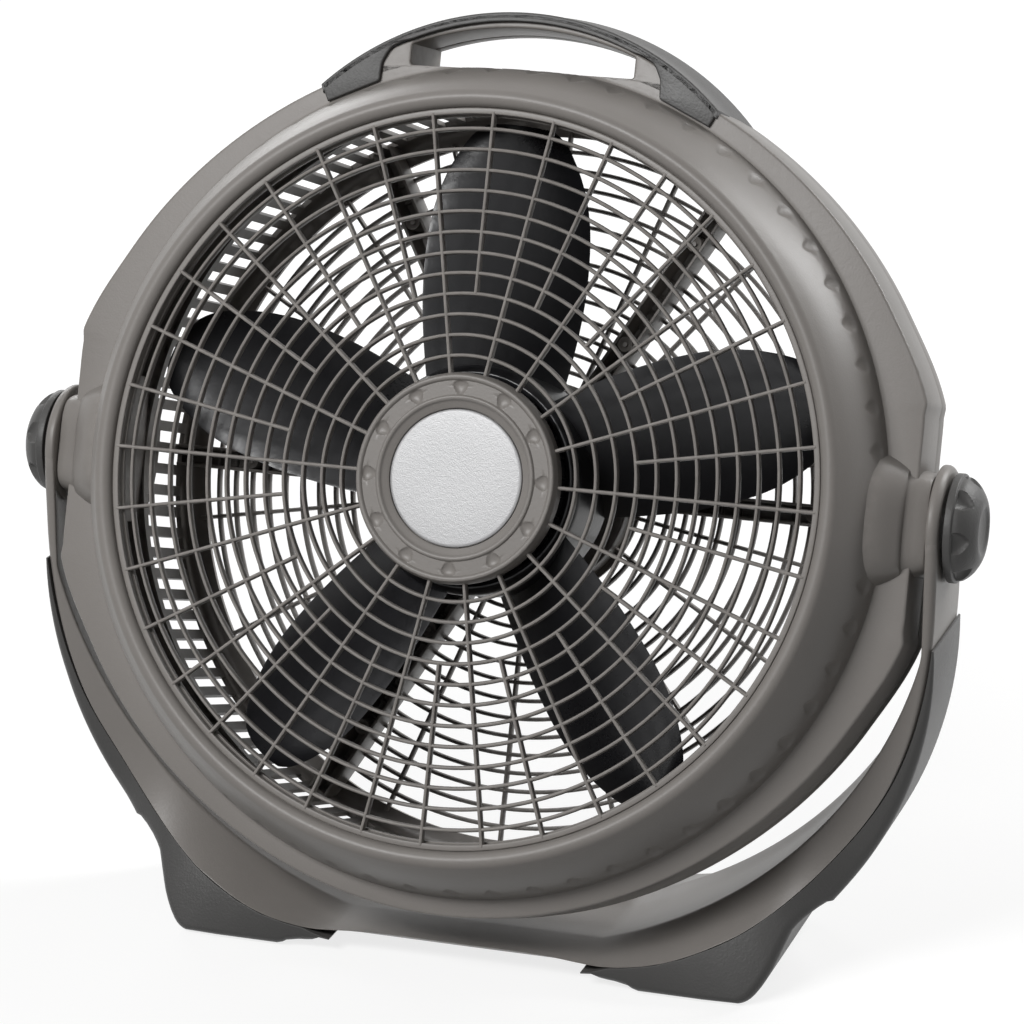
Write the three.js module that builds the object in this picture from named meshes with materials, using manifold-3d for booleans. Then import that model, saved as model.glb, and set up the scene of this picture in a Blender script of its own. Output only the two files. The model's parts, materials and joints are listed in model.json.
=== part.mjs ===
// Air circulator fan: a round head that tilts between the arms of a U-shaped stand.
// Millimetres, +Z up, the fan blows towards -Y, and the feet stand on Z = 0.
// The head is modelled upright in its own frame (x right, y back from the grille's rim plane,
// z up) and is then leaned back about the tilt pivot.
import * as THREE from 'three';
import { mergeVertices } from 'three/addons/utils/BufferGeometryUtils.js';
import Module from 'manifold-3d';

const manifold = await Module();
manifold.setup();

// ---------- driving dimensions (mm and degrees) ----------

const FIT = 0.3; // gap between pieces that touch
const RUN = 0.05; // radial running clearance of the shaft in its bushes
const WALL = 3; // moulded wall

// pose and pivot
const TILT = 18.5; // head leaned back from upright
const PIVOT_DEPTH = 69; // tilt axis behind the grille's rim plane

// front grille
const RIM_R = 210;
const HUB_R = 58;
const RING_COUNT = 7; // rings between the hub and the rim
const SPOKE_COUNT = 18; // full spokes; as many short ones stand between them
const SHORT_FROM = 3; // ring on which the short spokes start
const RIB_WIDTH = 2.4;
const RIB_DEPTH = 6;
const HUB_LIP = 5; // hub's ridge in front of the rim plane
const HUB_BASE = 7; // hub's back face behind the rim plane
const DISC_R = 38.3; // bare disc in the middle of the hub
const DISC_THICK = 2.4;
const DISC_RIM = 7; // recess between the disc and the ridge
const HUB_EDGE = 1; // rounded edges of the hub
const HUB_SIDES = 28;

// front housing
const CROWN_R = 5.4; // rounded lip round the grille
const SEAT_LEDGE = 5; // width of the ledge that the grille's rim rests on
const BEZEL_WIDTH = 18.2; // sloping bezel, out from the lip
const BEZEL_DEPTH = 40;
const FLANGE_STEP = 2.5; // flange face behind the bezel's edge
const FLANGE_CHAMFER = 1.5;
const FLANGE_WIDTH = 12.5; // out from the bezel to the flange's outline, which is two arcs ...
const OUTLINE_SHIFT = 10.5; // ... whose centres lie this far to each side
const SIDE_FLAT = 7; // depth of the outline's flat sides, in from its arcs
const FRONT_SHELL = 32.5; // depth of the front shell's side wall
const REAR_LIP = 12; // depth of the rear shell's side wall
const OUTLINE_STEPS = 8; // facets from a flat side to the top

// carrying handle
const HANDLE_RISE = 19.5; // top of the grip over the flange's outline
const HANDLE_CENTRE = 104.4; // centre of the handle's arc, above the head's axis
const GRIP_THICK = 4.5;
const GRIP_END = 28.5; // end of the grip, degrees from the top
const GRIP_LOBE = 20.5; // inner end of the grip's lobes, degrees from the top
const GRIP_WRAP = 57; // half width of the thin middle of the grip
const GRIP_SKIRT = 2.5; // grip's front plate
const OPENING_HALF = 65; // finger opening, half width
const OPENING_DROP = 13.5; // its floor, in from the flange's outline
const OPENING_END = 11.5; // height of its straight ends
const OPENING_ROOF = 12; // its crest below the top of the grip
const POST_OUTER = 84; // outer edge of the handle's posts
const HANDLE_DEPTH = 36;

// pivot pads on the head
const PAD_ROOT = 38; // half size of the bulge on the bezel
const PAD_TIER = 32; // half size of the outer tier
const PAD_FACE = 28; // half size of its outer face
const PAD_PROUD = 7.7; // outer face past the flange's flat sides
const PAD_STEP = 10; // step between bulge and tier, in from the flat sides
const PAD_BEVEL = 4.5;
const PAD_SIDES = 12;
const PAD_SQUARE = 3.5; // 2 would be round

// rear housing
const DRUM_SET = 23.5; // drum, in from the flange's outline
const VENT_FRONT = 5; // side vents, behind the lip
const VENT_REAR = 15; // ... and in front of the rear grille
const VENT_COUNT = 24;
const VENT_SHARE = 0.5; // share of the pitch that is open
const DRUM_BEVEL = 8; // depth of the bevel round the drum's rear edge ...
const DRUM_SLOPE = 6; // ... and its width
const DRUM_RIM = 16; // width of the drum's rear rim
const REAR_RINGS = 2;
const REAR_RIB = 3.2;
const REAR_SECTORS = 24; // facets round the rear guard
const REAR_RIB_DEPTH = 7;
const STRUT_COUNT = 6;
const STRUT_WIDTH = 13;
const STRUT_DEPTH = 24;
const MOUNT_R = 62; // motor plate
const MOUNT_DROP = 18; // plate in front of the rear grille's rear face
const PLATE = 4;

// impeller
const BLADE_COUNT = 5;
const FIRST_BLADE = 90; // angle of the first blade
const TIP_GAP = 19; // blade tips, in from the drum's wall
const HUB_SHELL_R = 66;
const HUB_GAP = 13; // impeller behind the front grille's hub
const HUB_DEPTH = 64;
const HUB_ROUND = 12; // domed edge of the hub
const BLADE_SET = 34; // blades' middle behind the hub's front
const BLADE_THICK = 2.6;
const ROOT_ARC = 68; // chord seen from the front, at the hub ...
const MID_ARC = 84; // ... at its widest ...
const TIP_ARC = 42; // ... and at the tip
const WIDEST = 0.5; // where the blade is widest, as a share of its length
const ROOT_PITCH = 40;
const TIP_PITCH = 24;
const CAMBER = 7;

// motor
const MOTOR_REACH = 118; // motor plate behind the impeller's front
const SHAFT_R = 4;
const SHAFT_PROUD = 3; // shaft in front of the impeller
const SHAFT_TAIL = 3; // shaft behind the rear bush
const ROTOR_R = 24.9;
const AIR_GAP = 0.5;
const STATOR_R = 46;
const STACK = 30;
const COIL = 9; // height of a winding's end turns
const COIL_WIDTH = 14;
const BELL_WALL = 2.2;
const BUSH_R = 8;
const BUSH_LENGTH = 10;
const EAR = 7; // flange of the end bells past the stator
const BOLT_R = 2;
const BOLT_HEAD_R = 3.6;
const BOLT_HEAD = 2.8;
const BOLT_COUNT = 4;
const NUT_R = 13;
const NUT_DEPTH = 8;

// rear cover and controls
const COVER_DEPTH = 22;
const COVER_LIP = 3.5; // cover past the motor plate's skirt
const COVER_ROUND = 14;
const KNOB_R = 17;
const KNOB_DEPTH = 15;
const SPINDLE_R = 3;
const SWITCH_SIZE = 26;
const SWITCH_DEPTH = 14;
const CAPACITOR_WIDTH = 36;
const CAPACITOR_HEIGHT = 16;
const CAPACITOR_DEPTH = 14;
const CAPACITOR_DROP = 26; // below the axis
const GLAND_R = 6.5;
const GLAND_FLANGE_R = 9;
const GLAND_LENGTH = 12;
const GLAND_BORE_R = 3.6;
const GLAND_SET = 24; // in from the motor plate's edge

// stand
const ARM_THICK = 7;
const ARM_R = 35; // rounded top of each arm
const SWEEP_GAP = 7.1; // bridge below the head as it tilts
const U_GAP = 11.2; // U outside the head as it tilts
const BRIDGE_THICK = 6;
const BRIDGE_CLEAR = 10; // bridge above the floor
const BRIDGE_BACK = 60; // half depth of the bridge's underside
const BAND_THICK = 19.2; // U's outer edge past its inner surface, at its widest ...
const BAND_WIDEST = 51; // ... so many degrees below the pivot
const BAND_DROP = 1.5; // outer edge of the bridge above its lips
const BAND_ROUND = 8; // rounding between the arms' edge and the bridge's
const LIP_HALF = 35; // half depth of the inner lips
const SCOOP = 2.6; // hollow of the U's inner surface
const CLAD_FROM = 13; // degrees below the pivot where the cladding starts
const SKIN_GROW = 1.35; // mm that the cladding grows each degree ...
const SKIN_BEND = 0.0125; // ... and how fast that growth eases
const SKIN_EDGE = 4; // rounded edge of the cladding
const NECK_FROM = 45.5; // degrees where the foot leaves the arm
const FOOT_X = 190; // outer edge of a foot
const FOOT_SPAN = 114; // foot from its outer edge to its inner tip
const FOOT_CORNER = 19; // rounded corner of the sole
const FOOT_RISE = 13.5; // underside of the tip above the sole
const FOOT_HALF = 75; // half depth of the feet
const RUBBER_THICK = 3;
const RUBBER_PROUD = 1; // rubber below the foot
const RUBBER_LENGTH = 46;
const RUBBER_WIDTH = 16;
const RUBBER_INSET = 10; // rubber from the foot's front and rear edge

// tilt knobs
const KNOB_SKIRT_R = 31;
const KNOB_SKIRT = 4.4; // depth of the skirt
const KNOB_SHOULDER_R = 27.4;
const KNOB_END_R = 16;
const KNOB_REACH = 17.3;
const KNOB_DISH = 2; // hollow of the knob's end
const KNOB_LOBES = 7;
const LOBE_CUT = 2.4; // depth of the finger hollows
const STUD_R = 5;
const STUD_IN = 22; // stud inside the head's pad
const STUD_OUT = 10; // stud inside the knob
const WASHER_R = 20;
const WASHER_THICK = 1.5;

// ---------- materials ----------

const finish = (color, roughness, metalness = 0) =>
  new THREE.MeshStandardMaterial({ color, roughness, metalness });
const TAUPE = finish(0x8c8680, 0.48);
const CHARCOAL = finish(0x3f4141, 0.62);
const BLADE_BLACK = finish(0x232326, 0.35);
const SILVER = finish(0xcfd0d0, 0.38, 0.6);
const STEEL = finish(0xa9abad, 0.32, 1);
const LAMINATION = finish(0x77797c, 0.5, 0.9);
const COPPER = finish(0xb0683a, 0.42, 0.8);
const BRONZE = finish(0x9c7a45, 0.45, 0.9);
const RUBBER = finish(0x202020, 0.9);
const CREAM = finish(0xd9d4c5, 0.55);

// ---------- geometry helpers ----------

const { abs, cos, sin, tan, asin, sqrt, hypot, atan2, min, max, PI } = Math;
const rad = THREE.MathUtils.degToRad;
const { lerp, smoothstep } = THREE.MathUtils;
const TURN = 2 * PI;
const MERGE = 1e-4;

// radius that keeps the flats of an n-sided ring outside the given circle
const roundedUp = (radius, sides) => radius / cos(PI / sides);

const many = (count, make) => Array.from({ length: count }, (_, i) => make(i));

// merges shared corners, drops empty triangles and turns the faces outwards
function outward(source) {
  const bare = source.clone();
  for (const name of Object.keys(bare.attributes)) if (name !== 'position') bare.deleteAttribute(name);
  const geometry = mergeVertices(bare, MERGE);
  const corners = many(3, () => new THREE.Vector3());
  const faces = [];
  let volume = 0;
  for (let i = 0; i < geometry.index.count; i += 3) {
    const face = [0, 1, 2].map((k) => geometry.index.getX(i + k));
    if (new Set(face).size < 3) continue;
    faces.push(face);
    corners.forEach((corner, k) => corner.fromBufferAttribute(geometry.attributes.position, face[k]));
    volume += corners[0].dot(corners[1].cross(corners[2]));
  }
  if (volume < 0) faces.forEach((face) => face.reverse());
  geometry.setIndex(faces.flat());
  return geometry;
}

// closed geometry from corner points and polygons of three or four corners
function meshOf(points, polygons) {
  const split = ([a, b, c, d]) => (d === undefined ? [[a, b, c]] : [[a, b, c], [a, c, d]]);
  const triangles = polygons.flatMap(split);
  const geometry = new THREE.BufferGeometry();
  geometry.setAttribute('position', new THREE.Float32BufferAttribute(points.flat(), 3));
  geometry.setIndex(triangles.flat());
  return outward(geometry);
}

function solidOf(geometry) {
  const closed = outward(geometry);
  return new manifold.Manifold(new manifold.Mesh({
    numProp: 3,
    vertProperties: new Float32Array(closed.attributes.position.array),
    triVerts: new Uint32Array(closed.index.array),
  }));
}

function geometryOf(solid) {
  const mesh = solid.getMesh();
  const geometry = new THREE.BufferGeometry();
  geometry.setAttribute('position', new THREE.Float32BufferAttribute(mesh.vertProperties, 3));
  geometry.setIndex(Array.from(mesh.triVerts));
  return geometry;
}

function join(...pieces) {
  return geometryOf(pieces.map(solidOf).reduce((sum, next) => sum.add(next)));
}

function cut(piece, ...tools) {
  return geometryOf(tools.map(solidOf).reduce((rest, tool) => rest.subtract(tool), solidOf(piece)));
}

// revolve of [radius, y] points about the y axis; the profile starts and ends on the axis
function turned(profile, sides) {
  return new THREE.LatheGeometry(profile.map(([r, y]) => new THREE.Vector2(r, y)), sides);
}

// revolve of a profile that closes on itself
const turnedRing = (profile, sides) => turned([...profile, profile[0]], sides);

const disc = (radius, y0, y1, sides) => turned([[0, y0], [radius, y0], [radius, y1], [0, y1]], sides);

const tube = (inner, outer, y0, y1, sides) =>
  turnedRing([[inner, y0], [outer, y0], [outer, y1], [inner, y1]], sides);

// outline drawn in x and z, extruded from y0 to y1
function prism(shape, y0, y1, curveSegments = 6) {
  const geometry = new THREE.ExtrudeGeometry(shape, { depth: y1 - y0, bevelEnabled: false, curveSegments });
  return geometry.rotateX(PI / 2).translate(0, y1, 0);
}

const polygon = (points) => new THREE.Shape(points.map(([x, z]) => new THREE.Vector2(x, z)));

function block(x0, x1, y0, y1, z0, z1) {
  const size = new THREE.BoxGeometry(x1 - x0, y1 - y0, z1 - z0);
  return size.translate((x0 + x1) / 2, (y0 + y1) / 2, (z0 + z1) / 2);
}

// skin over closed sections with equal numbers of points, capped at both ends
function loft(sections) {
  const count = sections[0].length;
  const polygons = [];
  for (let s = 0; s < sections.length - 1; s += 1) {
    for (let i = 0; i < count; i += 1) {
      const j = (i + 1) % count;
      polygons.push([s * count + i, s * count + j, (s + 1) * count + j, (s + 1) * count + i]);
    }
  }
  const last = (sections.length - 1) * count;
  for (let i = 1; i < count - 1; i += 1) polygons.push([0, i + 1, i], [last, last + i, last + i + 1]);
  return meshOf(sections.flat(), polygons);
}

// ring whose profile points may follow any outline: each gives its radius and depth at an angle
function ringOf(profile, angles) {
  const count = profile.length;
  const points = angles.flatMap((angle) => profile.map((at) => {
    const [radius, y] = at(angle);
    return [radius * cos(angle), y, radius * sin(angle)];
  }));
  const polygons = [];
  for (let s = 0; s < angles.length; s += 1) {
    const t = (s + 1) % angles.length;
    for (let i = 0; i < count; i += 1) {
      const j = (i + 1) % count;
      polygons.push([s * count + i, s * count + j, t * count + j, t * count + i]);
    }
  }
  return meshOf(points, polygons);
}

// flat guard of rings and spokes. Every rib is a wedge, broad in front and sharp behind. Where
// the hub or the rim has no ring of its own, the spokes end in the piece that carries them.
// A ring's stride is how many sectors each of its facets spans.
function ribLattice({ radii, sectors, stride = () => 1, hasSpoke, width, depth, hubRing, rimRing }) {
  const points = [];
  const polygons = [];
  const last = radii.length - 1;
  const add = (radius, angle, y) => points.push([radius * cos(angle), y, radius * sin(angle)]) - 1;
  const edge = (radius, angle, split) => {
    const half = width / 2 / radius;
    return split ? [add(radius, angle - half, 0), add(radius, angle + half, 0)] : [add(radius, angle, 0)];
  };
  const nodes = radii.map((radius, k) => many(sectors, (j) => {
    const angle = (j * TURN) / sectors;
    return {
      inner: edge(radius - width / 2, angle, k > 0 && hasSpoke(k - 1, j)),
      outer: edge(radius + width / 2, angle, k < last && hasSpoke(k, j)),
      root: add(radius, angle, depth),
    };
  }));
  for (let k = 0; k <= last; k += 1) {
    const open = (k === 0 && !hubRing) || (k === last && !rimRing);
    for (let j = 0; j < sectors; j += stride(k)) {
      const { inner, outer, root } = nodes[k][j];
      const next = nodes[k][(j + stride(k)) % sectors];
      const stub = k === 0 ? [...outer].reverse() : inner;
      if (open && stub.length === 2) polygons.push([...stub, root]);
      if (!open) {
        polygons.push([inner.at(-1), next.inner[0], next.outer[0], outer.at(-1)]);
        polygons.push([next.inner[0], inner.at(-1), root, next.root]);
        polygons.push([outer.at(-1), next.outer[0], next.root, root]);
        const crossing = [...inner, ...[...outer].reverse()];
        if (crossing.length > 2) polygons.push(crossing);
      }
      if (k === last || !hasSpoke(k, j)) continue;
      const beyond = nodes[k + 1][j];
      polygons.push([outer[0], outer[1], beyond.inner[1], beyond.inner[0]]);
      polygons.push([beyond.inner[0], beyond.root, root, outer[0]]);
      polygons.push([outer[1], root, beyond.root, beyond.inner[1]]);
    }
  }
  return meshOf(points, polygons);
}

function addPart(parent, name, geometry, material) {
  const mesh = new THREE.Mesh(outward(geometry), material);
  mesh.name = name;
  parent.add(mesh);
}

// ---------- front housing ----------

const flangeFront = BEZEL_DEPTH + FLANGE_STEP;
const parting = flangeFront + FRONT_SHELL;
const lipBack = parting + REAR_LIP;
const hubFront = HUB_BASE + HUB_GAP;
const hubBack = hubFront + HUB_DEPTH;
const mountFront = hubFront + MOTOR_REACH;
const drumDepth = mountFront + MOUNT_DROP; // rear face of the rear grille
const bezelR = RIM_R + 2 * CROWN_R + BEZEL_WIDTH; // back edge of the sloping bezel
const outlineR = bezelR + FLANGE_WIDTH;
const sideX = outlineR + OUTLINE_SHIFT - SIDE_FLAT; // flat sides of the flange
const padX = sideX + PAD_PROUD;
const handleTop = outlineR + HANDLE_RISE;
const handleR = handleTop - HANDLE_CENTRE;
const openingFloor = outlineR - OPENING_DROP;
const openingSide = openingFloor + OPENING_END;
const openingTop = handleTop - OPENING_ROOF;
const drumR = outlineR - DRUM_SET;
const tipR = drumR - WALL - TIP_GAP;
const glandDrop = MOUNT_R - GLAND_SET; // below the axis

// flange outline as a radius, set in by a given distance
function outlineRadius(angle, inset) {
  const arc = outlineR - inset;
  const byArc = OUTLINE_SHIFT * abs(cos(angle)) + sqrt(arc ** 2 - (OUTLINE_SHIFT * sin(angle)) ** 2);
  return min(byArc, (sideX - inset) / max(abs(cos(angle)), 1e-6));
}

// angles round the head, with one on each corner between an arc and a flat side
function outlineAngles() {
  const corner = atan2(sqrt(outlineR ** 2 - (sideX - OUTLINE_SHIFT) ** 2), sideX);
  const rising = [0, ...many(OUTLINE_STEPS, (i) => lerp(corner, PI / 2, i / OUTLINE_STEPS))];
  const falling = [PI / 2, ...rising.slice(1).reverse().map((a) => PI - a)];
  const half = [...rising, ...falling];
  return [...half, ...half.map((a) => a + PI)];
}
const headAngles = outlineAngles();
const widestStep = max(...headAngles.slice(1).map((a, i) => a - headAngles[i]));

const circleAt = (radius, y) => () => [radius, y];
const outlineAt = (inset, y) => (angle) => [outlineRadius(angle, inset), y];

// arc of the handle's top, from one side to the other
function handleArc(radius, halfWidth, steps) {
  const reach = asin(min(1, halfWidth / radius));
  return many(steps + 1, (i) => {
    const a = lerp(reach, -reach, i / steps);
    return [radius * sin(a), HANDLE_CENTRE + radius * cos(a)];
  });
}

// finger opening: flat floor, straight ends and an arched top
function fingerOpening() {
  const rise = openingTop - openingSide;
  const radius = (OPENING_HALF ** 2 + rise ** 2) / (2 * rise);
  const lean = asin(OPENING_HALF / radius);
  const shape = new THREE.Shape();
  shape.moveTo(-OPENING_HALF, openingFloor);
  shape.lineTo(OPENING_HALF, openingFloor);
  shape.absarc(0, openingTop - radius, radius, PI / 2 - lean, PI / 2 + lean, false);
  shape.closePath();
  return shape;
}

const gripEndX = outlineR * sin(rad(GRIP_END));
const handleBack = flangeFront + HANDLE_DEPTH;

// handle's arch and posts, under the grip
function handleFrame() {
  const arch = handleArc(handleR - GRIP_THICK - FIT, gripEndX - WALL, 10);
  const foot = outlineR - 2 * WALL;
  const base = many(9, (i) => {
    const a = rad(lerp(-GRIP_END, GRIP_END, i / 8));
    return [foot * sin(a), foot * cos(a)];
  });
  return prism(polygon([...arch, ...base]), flangeFront, parting);
}

// two-tiered boss round each end of the tilt axis
function pivotPad(sign, grow) {
  const section = (x, half) => many(PAD_SIDES, (i) => {
    const a = ((i + 0.5) * TURN) / PAD_SIDES;
    const r = (half + grow) / (abs(cos(a)) ** PAD_SQUARE + abs(sin(a)) ** PAD_SQUARE) ** (1 / PAD_SQUARE);
    return [sign * x, PIVOT_DEPTH + r * cos(a), r * sin(a)];
  });
  const step = sideX - PAD_STEP;
  return loft([
    section(drumR + 2 - grow, PAD_ROOT),
    section(step, PAD_ROOT - FLANGE_CHAMFER),
    section(step + PAD_BEVEL, PAD_TIER),
    section(padX + grow, PAD_FACE),
  ]);
}

// blind hole in a pad for the tilt knob's stud
function studBore(sign) {
  const bore = disc(roundedUp(STUD_R + FIT, 16), 0, STUD_IN + 2 * FIT, 16);
  return bore.rotateZ(-PI / 2).translate(padX - STUD_IN - FIT, 0, 0).rotateY(sign > 0 ? 0 : PI)
    .translate(0, PIVOT_DEPTH, 0);
}

const handleCut = (y0, y1) => block(-POST_OUTER, POST_OUTER, y0, y1, openingFloor, handleTop);

// floor under the finger opening
const handleFloor = (y0, y1, top) => block(-POST_OUTER, POST_OUTER, y0, y1, top - WALL, top);

function frontHousing() {
  const seat = (RIM_R + FIT) / cos(widestStep / 2);
  const ledge = RIB_DEPTH + FIT;
  const crownMid = seat + CROWN_R;
  const crown = many(4, (i) => {
    const a = lerp(PI, rad(25), i / 3);
    return circleAt(crownMid + CROWN_R * cos(a), CROWN_R * (0.25 - sin(a)));
  });
  const waist = lerp(crownMid + CROWN_R, bezelR, 0.55);
  const waistDepth = BEZEL_DEPTH * 0.45;
  const shell = ringOf([
    circleAt(seat - SEAT_LEDGE, ledge + WALL),
    circleAt(seat - SEAT_LEDGE, ledge),
    circleAt(seat, ledge),
    ...crown,
    circleAt(waist, waistDepth),
    circleAt(bezelR, BEZEL_DEPTH),
    circleAt(bezelR + 1, flangeFront),
    outlineAt(FLANGE_CHAMFER, flangeFront),
    outlineAt(0, flangeFront + FLANGE_CHAMFER),
    outlineAt(0, parting),
    outlineAt(WALL, parting),
    outlineAt(WALL, flangeFront + WALL),
    circleAt(bezelR - WALL, flangeFront + WALL),
    circleAt(waist - WALL, waistDepth + WALL),
  ], headAngles);
  const front = -CROWN_R;
  const floor = handleFloor(flangeFront, parting, openingFloor);
  const body = join(cut(shell, handleCut(front, parting + 1)), handleFrame(), floor);
  const opened = cut(body, prism(fingerOpening(), front, parting + 1), handleCut(front, flangeFront + WALL));
  return cut(join(opened, pivotPad(1, 0), pivotPad(-1, 0)), studBore(1), studBore(-1));
}

// ---------- handle grip ----------

function handleGrip() {
  const front = flangeFront - FIT - GRIP_SKIRT;
  const edge = bezelR + 2;
  const corner = (degrees) => [-edge * sin(rad(degrees)), edge * cos(rad(degrees))];
  const left = [
    corner(GRIP_END), corner(GRIP_LOBE), [-POST_OUTER, openingFloor], [-POST_OUTER + 8, openingSide],
  ];
  const right = left.map(([x, z]) => [-x, z]).reverse();
  const strip = handleArc(handleR - GRIP_THICK, GRIP_WRAP, 8).reverse();
  const face = polygon([...handleArc(handleR, gripEndX, 12), ...left, ...strip, ...right]);
  const wrap = polygon([
    ...handleArc(handleR, POST_OUTER, 8),
    ...handleArc(handleR - GRIP_THICK, POST_OUTER, 12).reverse(),
  ]);
  return join(prism(face, front, flangeFront - FIT), prism(wrap, front, handleBack));
}

// ---------- front grille ----------

function frontGrille() {
  const pitch = (RIM_R - HUB_R) / (RING_COUNT + 1);
  const rings = many(RING_COUNT + 1, (k) => HUB_R + k * pitch);
  const lattice = ribLattice({
    radii: [...rings, RIM_R - RIB_WIDTH / 2],
    sectors: 2 * SPOKE_COUNT,
    stride: (ring) => (ring < SHORT_FROM ? 2 : 1),
    hasSpoke: (gap, j) => j % 2 === 0 || gap >= SHORT_FROM,
    width: RIB_WIDTH,
    depth: RIB_DEPTH,
    hubRing: false,
    rimRing: true,
  });
  const seat = DISC_R + FIT;
  const hub = turned([
    [0, FIT], [seat, FIT], [seat, -DISC_THICK], [seat + DISC_RIM, HUB_EDGE - HUB_LIP],
    [seat + DISC_RIM + HUB_EDGE, -HUB_LIP], [HUB_R - HUB_EDGE, -HUB_LIP],
    [HUB_R + 2 * HUB_EDGE, 0], [HUB_R + 2 * HUB_EDGE, HUB_BASE], [0, HUB_BASE],
  ], HUB_SIDES);
  return join(lattice, hub);
}

// ---------- rear housing ----------

// outline lip that meets the front housing, and the flat behind it
function rearLip() {
  const root = drumR - 0.7 * WALL; // inside the drum's wall
  const lip = ringOf([
    outlineAt(0, parting + FIT),
    outlineAt(0, lipBack),
    circleAt(root, lipBack),
    circleAt(root, lipBack - WALL),
    outlineAt(WALL, lipBack - WALL),
    outlineAt(WALL, parting + FIT),
  ], headAngles);
  const top = openingFloor - FIT;
  const opening = block(-POST_OUTER, POST_OUTER, parting, lipBack + 1, top, handleTop);
  const floored = join(cut(lip, opening), handleFloor(parting + FIT, lipBack, top));
  return cut(floored, pivotPad(1, FIT), pivotPad(-1, FIT));
}

// drum with its side vents, one facet to a vent
function ventedDrum() {
  const inner = drumR - WALL;
  const drum = turnedRing([
    [drumR, lipBack - WALL], [drumR, drumDepth - DRUM_BEVEL], [drumR - DRUM_SLOPE, drumDepth],
    [drumR - DRUM_RIM, drumDepth], [drumR - DRUM_RIM, drumDepth - WALL],
    [drumR - DRUM_SLOPE - 2, drumDepth - WALL], [inner, drumDepth - DRUM_BEVEL - 1],
    [inner, lipBack - WALL],
  ], VENT_COUNT);
  const width = (TURN * inner * VENT_SHARE) / VENT_COUNT;
  const vents = many(VENT_COUNT, (i) =>
    block(inner - WALL, drumR + WALL, lipBack + VENT_FRONT, drumDepth - VENT_REAR, -width / 2, width / 2)
      .rotateY((TURN * (i + 0.5)) / VENT_COUNT));
  return cut(drum, ...vents);
}

function rearGuard() {
  const outer = drumR - DRUM_RIM / 2;
  const guard = ribLattice({
    radii: many(REAR_RINGS + 2, (k) => lerp(MOUNT_R - WALL / 2, outer, k / (REAR_RINGS + 1))),
    sectors: REAR_SECTORS,
    hasSpoke: (gap, j) => j % (REAR_SECTORS / STRUT_COUNT) === REAR_SECTORS / STRUT_COUNT / 2,
    width: REAR_RIB,
    depth: REAR_RIB_DEPTH,
    hubRing: false,
    rimRing: false,
  });
  return guard.rotateZ(PI).translate(0, drumDepth - FIT, 0);
}

function rearHousing() {
  const struts = many(STRUT_COUNT, (i) => {
    const half = STRUT_WIDTH / 2;
    return block(MOUNT_R - 2, drumR - WALL, drumDepth - STRUT_DEPTH, drumDepth - 2 * FIT, -half, half)
      .rotateY((TURN * i) / STRUT_COUNT);
  });
  const hole = BUSH_R + WALL + 5;
  const mount = turnedRing([
    [hole, mountFront], [MOUNT_R, mountFront], [MOUNT_R, drumDepth], [MOUNT_R - WALL, drumDepth],
    [MOUNT_R - WALL, mountFront + PLATE], [hole, mountFront + PLATE],
  ], 18);
  return cut(join(rearLip(), ventedDrum(), rearGuard(), mount, ...struts), ...boltHoles());
}

// ---------- impeller ----------

// twisted paddle: helical sections whose chord swells and narrows again towards the tip
function blade() {
  const chordSteps = 3;
  const section = (t) => {
    const radius = lerp(HUB_SHELL_R - 2, tipR, t);
    const toMid = sin(min(t / WIDEST, 1) * (PI / 2));
    const toTip = max(0, (t - WIDEST) / (1 - WIDEST)) ** 2.6;
    const arc = lerp(lerp(ROOT_ARC, MID_ARC, toMid), TIP_ARC, toTip);
    const slope = tan(rad(lerp(ROOT_PITCH, TIP_PITCH, t)));
    const faces = [1, -1].map((face) => many(chordSteps + 1, (i) => {
      const along = lerp(-0.5, 0.5, i / chordSteps);
      const fall = 4 * along * along;
      const middle = hubFront + BLADE_SET - along * arc * slope - CAMBER * (1 - fall);
      const y = middle + (face * BLADE_THICK * (1 - 0.75 * fall)) / 2;
      return [radius * cos((along * arc) / radius), y, radius * sin((along * arc) / radius)];
    }));
    return [...faces[0], ...faces[1].reverse()];
  };
  return loft([0, 0.22, 0.46, 0.7, 0.88, 1].map(section));
}

function impeller() {
  const bore = SHAFT_R + FIT;
  const sleeve = BUSH_R + 2;
  const hub = turnedRing([
    [bore, hubFront + 3], [NUT_R + 2, hubFront + 3], [NUT_R + 2, hubFront],
    [HUB_SHELL_R - HUB_ROUND, hubFront], [HUB_SHELL_R, hubFront + HUB_ROUND], [HUB_SHELL_R, hubBack],
    [HUB_SHELL_R - WALL, hubBack], [HUB_SHELL_R - WALL, hubFront + HUB_ROUND + WALL],
    [sleeve, hubFront + 3 * WALL], [sleeve, bushFront - 2], [bore, bushFront - 2],
  ], 20);
  const blades = many(BLADE_COUNT, (i) => blade().rotateY(-rad(FIRST_BLADE) - (TURN * i) / BLADE_COUNT));
  return join(hub, ...blades);
}

// ---------- motor ----------

const SIDES = 10; // facets round the hidden turned pieces
const bellDepth = COIL + BELL_WALL + 2 * FIT;
const earThick = BELL_WALL;
const stackBack = mountFront - FIT - bellDepth - FIT;
const stackFront = stackBack - STACK;
const bushFront = stackFront - FIT - bellDepth - BUSH_LENGTH / 2;
const bushBack = stackBack + FIT + bellDepth + BUSH_LENGTH / 2;
const boltCircle = STATOR_R + EAR / 2 + BOLT_R / 2;
const boltFront = stackFront - FIT - earThick;
const boltBack = mountFront + PLATE;

const shaftBack = bushBack + BUSH_LENGTH / 2 + SHAFT_TAIL;

// rotor or stator stack
const stack = (inner, outer) => tube(roundedUp(inner, SIDES), outer, stackFront, stackBack, SIDES);

function boltRing(make) {
  return many(BOLT_COUNT, (i) => {
    const a = (TURN * (i + 0.5)) / BOLT_COUNT;
    return make().translate(boltCircle * cos(a), 0, boltCircle * sin(a));
  });
}

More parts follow.
